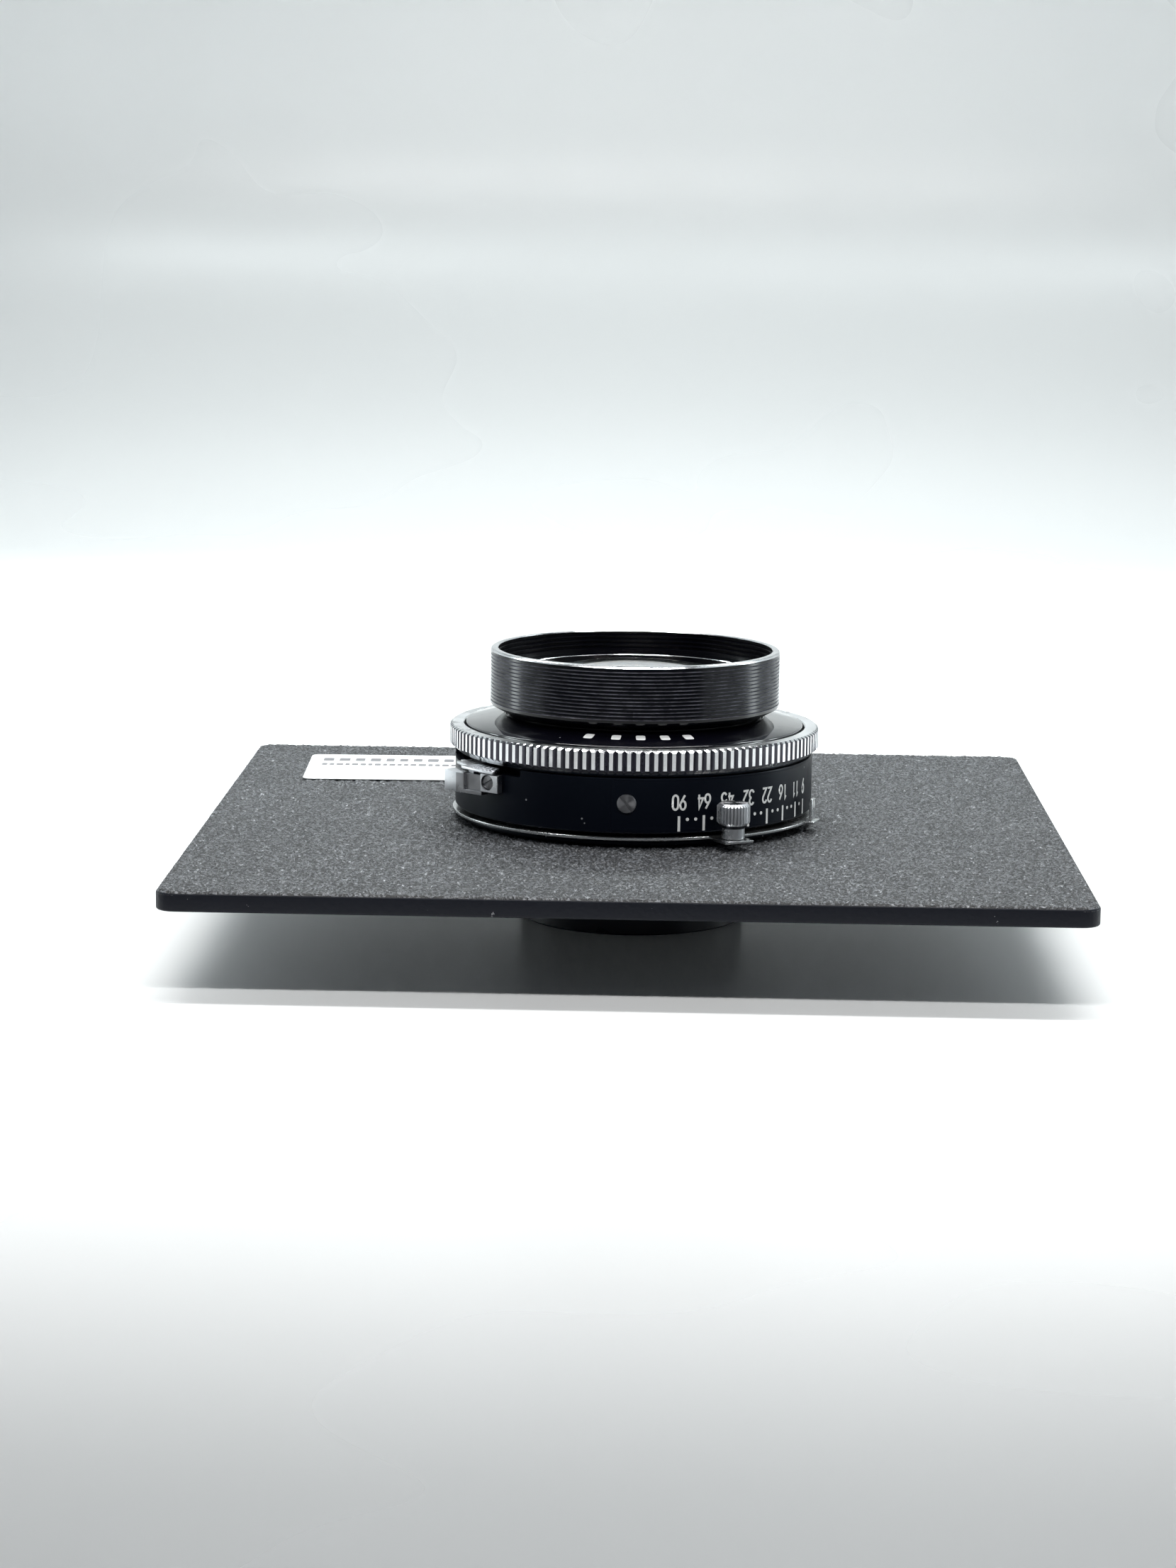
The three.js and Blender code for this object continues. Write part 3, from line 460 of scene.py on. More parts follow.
def wrinkle_paint():
    """Black wrinkle paint, satin, with glossier spots finer than its pimples that are painted paler as
    painted glints.
    """
    look = Look("wrinkle_paint", (0.012, 0.013, 0.015), 0.38)
    where = look.place()
    fine = look.noise(where, 2100.0, 2.0, 0.6, 0.4)
    look.bump(look.ramp(fine, 0.35, 0.0, 0.65, 1.0), 0.7, 0.00018)
    # Painted glints: the same fine noise that raises the pimples paints their tops a paler grey.
    look.tint(look.ramp(fine, 0.48, 0.0, 0.63, 1.0), (0.002, 0.0025, 0.0035), (0.120, 0.126, 0.136))
    look.set("Roughness", look.ramp(fine, 0.42, 0.55, 0.62, 0.26))
    return look.material


def board_edge_paint():
    """The same paint on the board's sides, where it is smoother and chipped at the corners."""
    look = Look("board_edge_paint", (0.003, 0.004, 0.008), 0.5, Specular_IOR_Level=0.2)
    where = look.place()
    look.bump(look.noise(where, 1300.0, 2.0, 0.5, 0.4), 0.5, 0.00014)
    chips = look.ramp(look.noise(where, 520.0, 4.0, 0.75), 0.70, 0.0, 0.715, 1.0)
    look.tint(chips, (0.003, 0.004, 0.008), (0.20, 0.20, 0.21))
    return look.material


def satin_black():
    """The body's paint, with a navy sheen and a few specks of dust."""
    color, sheen = (0.0018, 0.0024, 0.0048), (0.62, 0.78, 1.0, 1.0)
    look = Look("satin_black", color, 0.34, Specular_IOR_Level=0.12, Specular_Tint=sheen)
    where = look.place()
    look.vary_gloss(160.0, 3.0, 0.3, 0.32, 0.7, 0.42)
    look.bump(look.noise(where, 5200.0, 2.0), 0.10, 0.00002)
    specks = look.ramp(look.voronoi(where, 260.0), 0.035, 1.0, 0.05, 0.0)
    look.tint(specks, color, (0.20, 0.20, 0.21))
    return look.material


def gloss_black():
    """Gloss lacquer with a little dust on it."""
    look = Look("gloss_black", (0.002, 0.002, 0.004), 0.07, Coat_Weight=1.0, Coat_Roughness=0.05)
    where = look.place()
    dust = look.ramp(look.voronoi(where, 620.0), 0.07, 1.0, 0.10, 0.0)
    sparse = look.ramp(look.noise(where, 330.0, 1.0), 0.62, 0.0, 0.67, 1.0)
    look.tint(look.math("MULTIPLY", dust, sparse), (0.002, 0.002, 0.004), (0.32, 0.33, 0.35))
    look.vary_gloss(90.0, 4.0, 0.35, 0.05, 0.75, 0.12)
    return look.material


def anodised_black(name="anodised_black", color=(0.0010, 0.0012, 0.0024), roughness=0.2):
    """Black anodised aluminium with fine circular turning marks."""
    look = Look(name, color, roughness, Specular_IOR_Level=0.42)
    rings = look.noise(look.round_place(0.6, 9000.0, 9000.0), 1.0, 2.0)
    look.bump(rings, 0.10, 0.00002)
    look.vary_gloss(120.0, 3.0, 0.3, roughness - 0.05, 0.7, roughness + 0.08)
    return look.material


def groove_edge():
    """The sloping sides of the barrel's grooves, where the anodising is thin and shines."""
    look = Look("groove_edge", (0.10, 0.10, 0.12), 0.3, 0.8)
    patches = look.noise(look.round_place(9.0, 500.0, 500.0), 1.0, 3.0, 0.6)
    look.tint(look.ramp(patches, 0.35, 0.0, 0.65, 1.0), (0.07, 0.07, 0.09), (0.26, 0.26, 0.30))
    look.set("Roughness", look.ramp(patches, 0.3, 0.42, 0.7, 0.28))
    return look.material


def chrome(name, color, roughness, brushing=0.0):
    """Plated metal: slightly uneven gloss, with circular brushing where asked."""
    look = Look(name, color, roughness, 1.0)
    smudge = look.noise(look.place(), 240.0, 4.0, 0.6)
    look.set("Roughness", look.ramp(smudge, 0.35, roughness * 0.75, 0.7, roughness * 1.45))
    if brushing:
        rings = look.noise(look.round_place(1.2, 7000.0, 7000.0), 1.0, 3.0)
        look.bump(rings, brushing, 0.00003)
    look.bump(look.noise(look.place(), 900.0, 3.0), 0.06, 0.00003)
    return look.material


def turned_steel(name="turned_steel", centre=None, axis=(0.0, 0.0, 1.0)):
    """Dark machined steel; a turned face is brushed in circles about its own centre, in metres."""
    look = Look(name, (0.24, 0.24, 0.25), 0.3, 1.0)
    place = look.place()
    if centre is None:
        look.bump(look.noise(place, 4200.0, 3.0, 0.6), 0.25, 0.00003)
    else:
        along = place
        for operation, other in (("SUBTRACT", centre), ("CROSS_PRODUCT", axis)):
            step = look.node("ShaderNodeVectorMath", operation=operation)
            step.inputs[1].default_value = other
            look.links.new(along, step.inputs[0])
            along = step.outputs["Vector"]
        look.set("Tangent", along)
        look.shader.inputs["Anisotropic"].default_value = 0.97
        look.bump(look.noise(place, 3000.0, 2.0), 0.10, 0.00003)
    look.vary_gloss(700.0, 2.0, 0.3, 0.26, 0.7, 0.40)
    return look.material


def bright_edge():
    look = Look("bright_edge", (0.86, 0.87, 0.88), 0.16, 1.0)
    rings = look.noise(look.round_place(1.0, 6000.0, 6000.0), 1.0, 2.0)
    look.bump(rings, 0.12, 0.00002)
    look.vary_gloss(300.0, 3.0, 0.3, 0.12, 0.7, 0.26)
    return look.material


def blued_steel():
    look = Look("blued_steel", (0.018, 0.018, 0.022), 0.42, 0.7)
    streaks = look.noise(look.place((1.0, 6.0, 1.0)), 300.0, 3.0)
    look.set("Roughness", look.ramp(streaks, 0.3, 0.34, 0.7, 0.52))
    look.bump(look.noise(look.place((1.0, 9.0, 1.0)), 900.0, 2.0), 0.12, 0.00002)
    return look.material


def brass():
    look = Look("brass", (0.60, 0.42, 0.17), 0.3, 1.0)
    look.vary_gloss(400.0, 3.0, 0.3, 0.22, 0.7, 0.42)
    look.bump(look.noise(look.place(), 3000.0, 2.0), 0.15, 0.00002)
    return look.material


def label_film():
    look = Look("label_film", (0.80, 0.815, 0.81), 0.32)
    look.tint(look.noise(look.place(), 60.0, 3.0), (0.74, 0.755, 0.75), (0.85, 0.865, 0.86))
    look.bump(look.noise(look.place(), 70.0, 2.0), 0.10, 0.0003)
    return look.material


def ink(name, color):
    look = Look(name, color, 0.55)
    look.tint(look.noise(look.place(), 2600.0, 2.0), tuple(0.82 * c for c in color), color)
    return look.material


def coated_glass():
    """Polished optical glass with a faint coating tint."""
    look = Look(
        "coated_glass", (0.97, 0.985, 1.0), 0.0, 0.0, Transmission_Weight=1.0, IOR=1.6,
        Thin_Film_Thickness=115.0, Thin_Film_IOR=1.38,
    )
    look.vary_gloss(60.0, 3.0, 0.45, 0.0, 0.8, 0.03)
    return look.material


WRINKLE = wrinkle_paint()
BOARD_EDGE = board_edge_paint()
SATIN = satin_black()
GLOSS = gloss_black()
ANODISED = anodised_black()
REAR_ANODISED = anodised_black("rear_anodised", (0.004, 0.006, 0.012), 0.32)
CHROME = chrome("lever_chrome", (0.62, 0.63, 0.65), 0.30)
RING_CHROME = chrome("ring_chrome", (0.82, 0.83, 0.84), 0.15)
RING_TOP_CHROME = chrome("ring_top_chrome", (0.74, 0.75, 0.76), 0.30, 0.35)
# Painted shade: darker chrome for the recessed window of the cable bracket, where shade falls.
WINDOW_SHADE_CHROME = chrome("window_painted_shade_chrome", (0.30, 0.30, 0.31), 0.32)
# Painted shade: darker chrome for the flanks of the knurl's grooves, where shade falls.
GROOVE_SHADE_CHROME = chrome("groove_painted_shade_chrome", (0.17, 0.17, 0.20), 0.34)
PLATE_CHROME = chrome("plate_chrome", (0.62, 0.63, 0.63), 0.22)
GROOVE = groove_edge()
STEEL = turned_steel()
BRIGHT = bright_edge()
BLUED = blued_steel()
BRASS = brass()
LABEL = label_film()
WHITE_INK = ink("white_ink", (0.72, 0.73, 0.72))
GREY_INK = ink("grey_ink", (0.16, 0.16, 0.17))
GLASS = coated_glass()


# ---- camera, floor and light

CAMERA_AT = Vector((6.0, -596.1, 122.5)) * MM
CAMERA_YAW, CAMERA_PITCH, CAMERA_ROLL = -1.30, 9.60, 0.77
FRAME_HEIGHT_MM = 36.0
FOCAL_TO_HEIGHT = 2.323


def make_camera():
    yaw, pitch, roll = (math.radians(a) for a in (CAMERA_YAW, CAMERA_PITCH, CAMERA_ROLL))
    flat = math.cos(pitch)
    forward = Vector((math.sin(yaw) * flat, math.cos(yaw) * flat, -math.sin(pitch)))
    level = Vector((math.cos(yaw), -math.sin(yaw), 0.0))
    upright = level.cross(forward)
    right = level * math.cos(roll) + upright * math.sin(roll)
    up = upright * math.cos(roll) - level * math.sin(roll)
    data = bpy.data.cameras.new("camera")
    data.sensor_fit = "VERTICAL"
    data.sensor_height = FRAME_HEIGHT_MM
    data.sensor_width = FRAME_HEIGHT_MM
    data.lens = FOCAL_TO_HEIGHT * FRAME_HEIGHT_MM
    data.clip_start = 0.01
    camera = link_object("camera", data)
    camera.matrix_world = Matrix((
        (right.x, up.x, -forward.x, CAMERA_AT.x),
        (right.y, up.y, -forward.y, CAMERA_AT.y),
        (right.z, up.z, -forward.z, CAMERA_AT.z),
        (0.0, 0.0, 0.0, 1.0),
    ))
    bpy.context.scene.camera = camera


def make_floor():
    """A white sheet that lies flat under the object and curves up behind it."""
    look = Look("floor_white", (0.86, 0.865, 0.86), 0.28, Specular_IOR_Level=0.9)
    look.vary_gloss(7.0, 2.0, 0.3, 0.25, 0.7, 0.32)
    width, near, bend, radius, height = 2000.0, -1200.0, 550.0, 150.0, 900.0
    side = [(near, 0.0), (bend, 0.0)]
    for k in range(1, 17):
        angle = math.pi / 2 * k / 16
        side.append((bend + radius * math.sin(angle), radius * (1 - math.cos(angle))))
    side.append((bend + radius, height))
    bm = bmesh.new()
    rows = [[bm.verts.new((x, y, z)) for x in (-width, width)] for y, z in side]
    for one, two in zip(rows, rows[1:]):
        bridge(bm, one, two, closed=False)
    bmesh.ops.scale(bm, vec=(MM, MM, MM), verts=bm.verts)
    for face in bm.faces:
        face.smooth = True
    floor = link_object("floor", as_mesh("floor", bm))
    floor.data.materials.append(look.material)


def area_light(name, at, aim, size, power, color=(1.0, 1.0, 1.0), spread=180.0):
    data = bpy.data.lights.new(name, "AREA")
    data.shape = "RECTANGLE"
    data.size, data.size_y = size
    data.energy = power
    data.color = color
    data.spread = math.radians(spread)
    light = link_object(name, data)
    light.location = Vector(at)
    light.rotation_euler = (Vector(aim) - Vector(at)).to_track_quat("-Z", "Y").to_euler()


def make_light():
    """Two overhead lamp rows, pale side walls and a lit backdrop; the camera's side is dark."""
    world = bpy.data.worlds.new("studio")
    bpy.context.scene.world = world
    world.use_nodes = True
    background = world.node_tree.nodes["Background"]
    background.inputs["Color"].default_value = (0.70, 0.85, 1.0, 1.0)
    background.inputs["Strength"].default_value = 0.05
    area_light("front_row", (0.0, -0.205, 0.25), (0.0, 0.02, 0.0), (0.44, 0.02), 0.42, spread=115.0)
    area_light("middle_row", (0.0, 0.0, 0.42), (0.0, 0.0, 0.0), (0.44, 0.03), 1.9)
    pale = (0.90, 0.98, 1.0)
    for name, side, near, power in (("left", -1.0, -0.10, 0.5), ("right", 1.0, -0.24, 0.6)):
        depth = 0.62 - near
        middle = (0.62 + near) / 2
        wall, lamp = (0.34 * side, middle, 0.2), (0.335 * side, 0.10, 0.15)
        area_light(f"{name}_wall", wall, (0.0, middle, 0.2), (depth, 0.40), power, pale)
        area_light(f"{name}_lamp", lamp, (0.0, 0.10, 0.1), (0.06, 0.30), 0.3, pale)
    cool = (0.92, 0.99, 1.0)
    area_light("backdrop_row", (0.0, 0.34, 0.42), (0.0, 0.32, 0.0), (0.6, 0.06), 2.0, cool, 108.0)
    bpy.context.scene.view_settings.view_transform = "Standard"


# ---- lensboard

def rounded_rectangle(half_x, half_y, corner, steps=6):
    points = []
    for k, (sx, sy) in enumerate(((1, 1), (-1, 1), (-1, -1), (1, -1))):
        centre = (sx * (half_x - corner), sy * (half_y - corner))
        points += arc(corner, k * math.pi / 2, (k + 1) * math.pi / 2, steps, centre)
    return points


def make_board():
    """A flat plate with rounded top edges, a round hole and a light-trap channel in its back."""
    corner, top_round, bottom_round = 3.0, 0.8, 0.35
    hole = 20.9
    under_paint = 0.42  # how far the metal lies below the painted face
    rows = []
    for k in range(6):
        angle = math.pi / 2 * k / 5
        inset = bottom_round * (1 - math.sin(angle))
        rows.append((inset, BOARD_BOTTOM + bottom_round * (1 - math.cos(angle))))
    for k in range(9):
        angle = math.pi / 2 * k / 8
        inset = top_round * (1 - math.cos(angle))
        share = k / 8
        z = BOARD_TOP - top_round * (1 - math.sin(angle)) - under_paint * share
        rows.append((inset + 0.05 * share, z))
    bm = bmesh.new()
    loops = []
    for inset, z in rows:
        half = BOARD_HALF - inset
        outline = rounded_rectangle(half, half, max(corner - inset, 0.5), 8)
        loops.append([bm.verts.new((x, y, z)) for x, y in outline])
    for one, two in zip(loops, loops[1:]):
        bridge(bm, one, two)
    bm.faces.new(list(reversed(loops[0])))
    bm.faces.new(loops[-1])
    bore = rod(hole, BOARD_BOTTOM - 2, BOARD_TOP + 2, 128)
    channel = outline_mesh(
        [rounded_rectangle(65.0, 65.0, 1.0, 4), rounded_rectangle(63.0, 63.0, 1.0, 4)],
        BOARD_BOTTOM - 1, BOARD_BOTTOM + 0.8,
    )
    bm = carve(bm, bore, channel)
    obj = to_object("board", "lens_board", bm, [WRINKLE, BOARD_EDGE])
    for face in obj.data.polygons:
        z = face.center.z / MM
        on_side = BOARD_BOTTOM + 0.02 < z < BOARD_TOP - 0.05 and face.normal.z < 0.75
        face.material_index = 1 if on_side else 0


def make_board_paint():
    """The paint on the board's face: a fine skin of pimples that follows its rounded edges."""
    cells, corner, rounding = 440, 3.0, 0.8
    pimple, swell, height = 1.7, 0.5, 0.38
    hidden = 24.0  # radius that the shutter's flange covers
    reach = BOARD_HALF - corner
    corners = []
    for i in range(cells + 1):
        for j in range(cells + 1):
            x = BOARD_HALF * (2 * i / cells - 1)
            y = BOARD_HALF * (2 * j / cells - 1)
            inset = BOARD_HALF - max(abs(x), abs(y))
            past = Vector((abs(x) - reach, abs(y) - reach))
            if past.x > 0 and past.y > 0:
                past *= max(past) / past.length
                x = math.copysign(reach + past.x, x)
                y = math.copysign(reach + past.y, y)
            fall = max(0.0, 1 - inset / rounding)
            z = BOARD_TOP - rounding * (1 - math.sqrt(max(0.0, 1 - fall * fall)))
            relief = noise.noise(Vector((x, y, 0.0)) * pimple)
            relief += 0.4 * noise.noise(Vector((x, y, 9.0)) * swell)
            sunk = height * min(1.0, max(0.0, 0.5 - relief)) * (1 - fall)
            corners.append((x * MM, y * MM, (z - sunk) * MM))
    faces = []
    for i in range(cells):
        for j in range(cells):
            first = i * (cells + 1) + j
            if math.hypot(*corners[first][:2]) > hidden * MM:
                faces.append((first, first + cells + 1, first + cells + 2, first + 1))
    mesh = bpy.data.meshes.new("board_paint")
    mesh.from_pydata(corners, [], faces)
    mesh.shade_smooth()
    show(link_object("board_paint", mesh), None, [WRINKLE])


def make_label():
    """A film label with two rows of plain dashes where printing would be."""
    centre = (low("board_label") + high("board_label")) / 2
    tilt = math.radians(1.7)
    half_x, half_y = 23.0, 13.2
    outline = rounded_rectangle(half_x, half_y, 1.5, 6)
    film = outline_mesh([outline], BOARD_TOP + 0.02, BOARD_TOP + 0.14, 0.03, 1)
    shift(turn(film, tilt), centre.x, centre.y)
    to_object("label", "board_label", film, [LABEL])
    marks = bmesh.new()
    rows = ((2.4, 1.0, (0.7, 1.5), 0.4), (7.6, 1.5, (1.4, 2.2), 1.0))
    for y, half_height, widths, space in rows:
        x = -half_x + 2.4
        while x < half_x - 3.5:
            width = random.uniform(*widths)
            shape = rounded_rectangle(width / 2, half_height, 0.3, 3)
            dash = outline_mesh([shape], BOARD_TOP + 0.13, BOARD_TOP + 0.155)
            merge(marks, shift(dash, x + width / 2, y))
            x += width + space
    shift(turn(marks, tilt), centre.x, centre.y)
    to_object("label_marks", None, marks, [GREY_INK])


def make_board_nut():
    bottom, top = low("board_nut").z, high("board_nut").z
    outer, inner = 25.0, 20.85
    bm = turn_mesh(soften([(inner, bottom), (outer, bottom), (outer, top), (inner, top)], 0.3), 128)
    tools = [
        swing(box_mesh((3.2, 3.0, 6.0), (outer, 0, (bottom + top) / 2), 0.3), azimuth)
        for azimuth in (0, 90, 180, 270)
    ]
    to_object("nut", "board_nut", carve(bm, *tools), [SATIN])


# ---- shutter body

def make_rear_mount():
    profile = soften([
        (19.0, 10.2), (20.6, 10.2), (20.6, 16.75), (28.6, 16.75),
        (28.6, 17.4), (23.5, 17.4), (23.5, 18.45), (19.0, 18.45),
    ], 0.15)
    to_object("mount_flange", "rear_mount", turn_mesh(profile, 128), [SATIN])


def wall_tool(start, end, bottom, top, inner=27.9, outer=30.5, steps=24):
    return outline_mesh([sector(inner, outer, start, end, steps)], bottom, top)


def radial_tool(radius, z, azimuth, inner=27.9, outer=30.5):
    return swing(lay_radial(rod(radius, inner, outer), z), azimuth)


def make_housing():
    """The black body: a bottomed can with a recess for the scale strip and slots for the levers."""
    shoulder = 0.22
    profile = [
        (15.0, BODY_BOTTOM), (BODY_R - shoulder, BODY_BOTTOM), (BODY_R, BODY_BOTTOM + shoulder),
        (BODY_R, BODY_TOP - 0.15), (BODY_R - 0.15, BODY_TOP), (28.3, BODY_TOP),
        (28.3, 19.3), (15.0, 19.3),
    ]
    bm = turn_mesh(profile, 256)
    bm = carve(
        bm,
        wall_tool(-6.24, 77.64, 19.16, 27.34, 28.95, steps=60),
        wall_tool(-90, -37.2, 26.45, 29.0, steps=36),
        wall_tool(PREVIEW_AZ - 5, PREVIEW_AZ + 25, 23.3, 24.25),
        wall_tool(COCKING_AZ - 6, COCKING_AZ + 6, 25.0, 26.3),
        radial_tool(1.1, SCALE_SCREW_Z, SCALE_SCREW_AZ),
        radial_tool(2.05, SYNC_Z, SYNC_AZ, 28.42),
    )
    to_object("body_shell", "shutter_housing", bm, [SATIN])


def make_scale_strip():
    bm = outline_mesh([sector(29.05, BODY_R - 0.004, -6.2, 77.6, 84)], 19.2, 27.3, 0.015, 1)
    bm = carve(bm, radial_tool(1.1, SCALE_SCREW_Z, SCALE_SCREW_AZ))
    to_object("scale_strip", "aperture_scale_plate", bm, [SATIN])


def slotted_head(radius, height, slot_turn):
    """A slotted cheese head standing on z = 0, with a slight crown and a short shank below."""
    slot_width = 0.42
    profile = [
        (0.0, -0.8), (0.8, -0.8), (0.8, 0.0), (radius - 0.05, 0.0), (radius, 0.05),
        (radius, height - 0.12), (radius - 0.10, height - 0.02), (0.6 * radius, height), (0.0, height),
    ]
    groove = turn(box_mesh((3 * radius, slot_width, 0.5), (0, 0, height)), slot_turn)
    return carve(pin_mesh(profile, 48), groove)


def screw_place(out, along, z, azimuth):
    """Where a screw on the body's wall is, in metres."""
    angle = bearing(azimuth)
    x = out * math.cos(angle) - along * math.sin(angle)
    y = out * math.sin(angle) + along * math.cos(angle)
    return Vector((x, y, z)) * MM


def radial_screw(name, node, radius, height, out, along, z, azimuth, slot_turn):
    """A slotted screw whose head stands on a seat, out from the axis and along the wall."""
    head = lay_radial(shift(slotted_head(radius, height, slot_turn), z=out), z)
    axis = (*polar(1.0, bearing(azimuth)), 0.0)
    look = turned_steel(name, screw_place(out + height, along, z, azimuth), axis)
    to_object(name, node, swing(shift(head, y=along), azimuth), [look])


# Engraved numerals are drawn as strokes on a cell 1 high and about 0.5 wide.
def stroke_arc(cx, cy, rx, ry, start, end, steps=12):
    points = arc(1.0, math.radians(start), math.radians(end), steps)
    return [(cx + rx * x, cy + ry * y) for x, y in points]


# Centre lines of plain condensed digits, as lists of points.
DIGITS = {
    "0": [stroke_arc(0.22, 0.72, 0.22, 0.28, 0, 180) + stroke_arc(0.22, 0.28, 0.22, 0.28, 180, 360)
          + [(0.44, 0.72)]],
    "1": [[(0.06, 0.80), (0.22, 1.0), (0.22, 0.0)]],
    "2": [stroke_arc(0.22, 0.74, 0.22, 0.26, 165, -35) + [(0.02, 0.0), (0.45, 0.0)]],
    "3": [stroke_arc(0.21, 0.76, 0.21, 0.24, 160, -80), stroke_arc(0.21, 0.27, 0.23, 0.27, 85, -160)],
    "4": [[(0.34, 0.0), (0.34, 1.0), (0.0, 0.26), (0.46, 0.26)]],
    "5": [[(0.42, 1.0), (0.06, 1.0), (0.03, 0.54)] + stroke_arc(0.21, 0.30, 0.23, 0.30, 120, -150)],
    "6": [[(0.38, 1.0)] + stroke_arc(0.22, 0.30, 0.22, 0.30, 150, 180, 3),
          stroke_arc(0.22, 0.30, 0.22, 0.30, 0, 360, 20)],
    "9": [[(0.06, 0.0)] + stroke_arc(0.22, 0.70, 0.22, 0.30, -30, 0, 3),
          stroke_arc(0.22, 0.70, 0.22, 0.30, 0, 360, 20)],
}
DIGIT_STEP = 0.62


def ribbon(points, width):
    """The two sides of a stroke of constant width with square ends, one pair for each point."""
    line = [Vector(point) for point in points]
    closed = (line[0] - line[-1]).length < 1e-6
    ends = (line[-2], line[1]) if closed else (line[0], line[-1])
    sides = []
    for before, here, after in zip([ends[0]] + line, line, line[1:] + [ends[1]]):
        one = (here - before).normalized() if (here - before).length > 1e-9 else (after - here).normalized()
        two = (after - here).normalized() if (after - here).length > 1e-9 else one
        middle = one + two if (one + two).length > 1e-6 else one
        middle = middle.normalized()
        half = Vector((-middle.y, middle.x)) * width / 2 / max(0.5, middle.dot(one))
        sides.append((here + half, here - half))
    return sides


def printed_strokes(strokes, width, to_surface, thickness=0.03):
    """A thin raised mesh of strokes, with to_surface(u, v, lift) giving each point's place."""
    bm = bmesh.new()
    for points in strokes:
        rails = []
        for left, right in ribbon(points, width):
            corners = ((left, 0.0), (right, 0.0), (right, thickness), (left, thickness))
            rails.append([bm.verts.new(to_surface(*corner, lift)) for corner, lift in corners])
        for one, two in zip(rails, rails[1:]):
            bridge(bm, one, two)
        bm.faces.new(rails[0])
        bm.faces.new(list(reversed(rails[-1])))
    return bm


def number_strokes(text, height, centre_u, low_v):
    """Strokes of a number in millimetres, turned upside down about its middle."""
    squeeze = 0.86
    length = (DIGIT_STEP * (len(text) - 1) + 0.44) * height * squeeze
    strokes = []
    for i, digit in enumerate(text):
        for stroke in DIGITS[digit]:
            line = []
            for x, y in stroke:
                u = (x + DIGIT_STEP * i) * height * squeeze - length / 2
                line.append((centre_u - u, low_v + height - y * height))
            strokes.append(line)
    return strokes


F_STOPS = ("90", "64", "45", "32", "22", "16", "11", "9")
STOP_AZ = (14.9, 23.0, 31.1, 39.2, 47.3, 55.4, 63.5, 69.9)


def make_scale_print():
    """Aperture numbers, upside down while the lens faces up, with lines and dots."""
    def on_body(u, v, lift):
        x, y = polar(BODY_R + 0.002 + lift, u / BODY_R - math.pi / 2)
        return (x, y, v)

    line_low, line_high = 19.1, 21.55
    number_low, number_height = 22.45, 2.6
    bm = bmesh.new()
    for text, azimuth in zip(F_STOPS, STOP_AZ):
        u = math.radians(azimuth) * BODY_R
        strokes = number_strokes(text, number_height - 0.3, u, number_low + 0.15)
        merge(bm, printed_strokes(strokes, 0.33, on_body))
        merge(bm, printed_strokes([[(u, line_low), (u, line_high)]], 0.42, on_body))
    for first, second in zip(STOP_AZ, STOP_AZ[1:]):
        whole = second - first > 7.0
        for part in ((1 / 3, 2 / 3) if whole else (0.5,)):
            u = math.radians(first + (second - first) * part) * BODY_R
            dot = bmesh.new()
            loop = circle(0.27, 16, (u, 21.0))
            upper = [dot.verts.new(on_body(x, y, 0.03)) for x, y in loop]
            lower = [dot.verts.new(on_body(x, y, 0.0)) for x, y in loop]
            dot.faces.new(upper)
            dot.faces.new(list(reversed(lower)))
            bridge(dot, upper, lower)
            merge(bm, dot)
    to_object("aperture_numbers", None, bm, [WHITE_INK])


# ---- aperture ring and knob

def make_aperture_ring():
    """Thin plated ring with a wider strip, a lug for the knob and an upright pointer."""
    inner, outer, wide = 23.8, 29.9, 30.6
    bottom, top = APERTURE_BOTTOM, APERTURE_BOTTOM + 0.45
    start, end = 24.5, 73.5
    outline = arc(outer, bearing(end), bearing(start + 360), 220)
    outline += arc(wide, bearing(start + 0.9 + 360), bearing(end - 0.9 + 360), 48)
    flat = outline_mesh([outline, circle(inner, 128)], bottom, top, 0.08)

    def block(length, width, at, block_top, bevel, azimuth):
        size = (length, width, block_top - bottom)
        return swing(box_mesh(size, (at, 0, (bottom + block_top) / 2), bevel), azimuth)

    lug = block(5.6, 5.0, KNOB_AT - 0.6, top, 0.12, KNOB_AZ)
    foot = block(3.0, 3.6, 30.5, top, 0.1, POINTER_AZ)
    pointer_top = high("aperture_ring").z
    finger = block(0.6, 1.9, 31.2, pointer_top, 0.12, POINTER_AZ)
    bm = weld(flat, lug, foot, finger)
    to_object("aperture_plate", "aperture_ring", bm, [PLATE_CHROME], "aperture_selector")
    dot = pin_mesh([(0.0, 0.0), (0.42, 0.0), (0.42, 0.03), (0.0, 0.04)], 24)
    bmesh.ops.scale(dot, vec=(1.7, 1.0, 1.0), verts=dot.verts)
    shift(dot, z=31.49)
    swing(lay_radial(dot, pointer_top - 0.85), POINTER_AZ)
    to_object("pointer_dot", None, dot, [WHITE_INK], "aperture_selector")


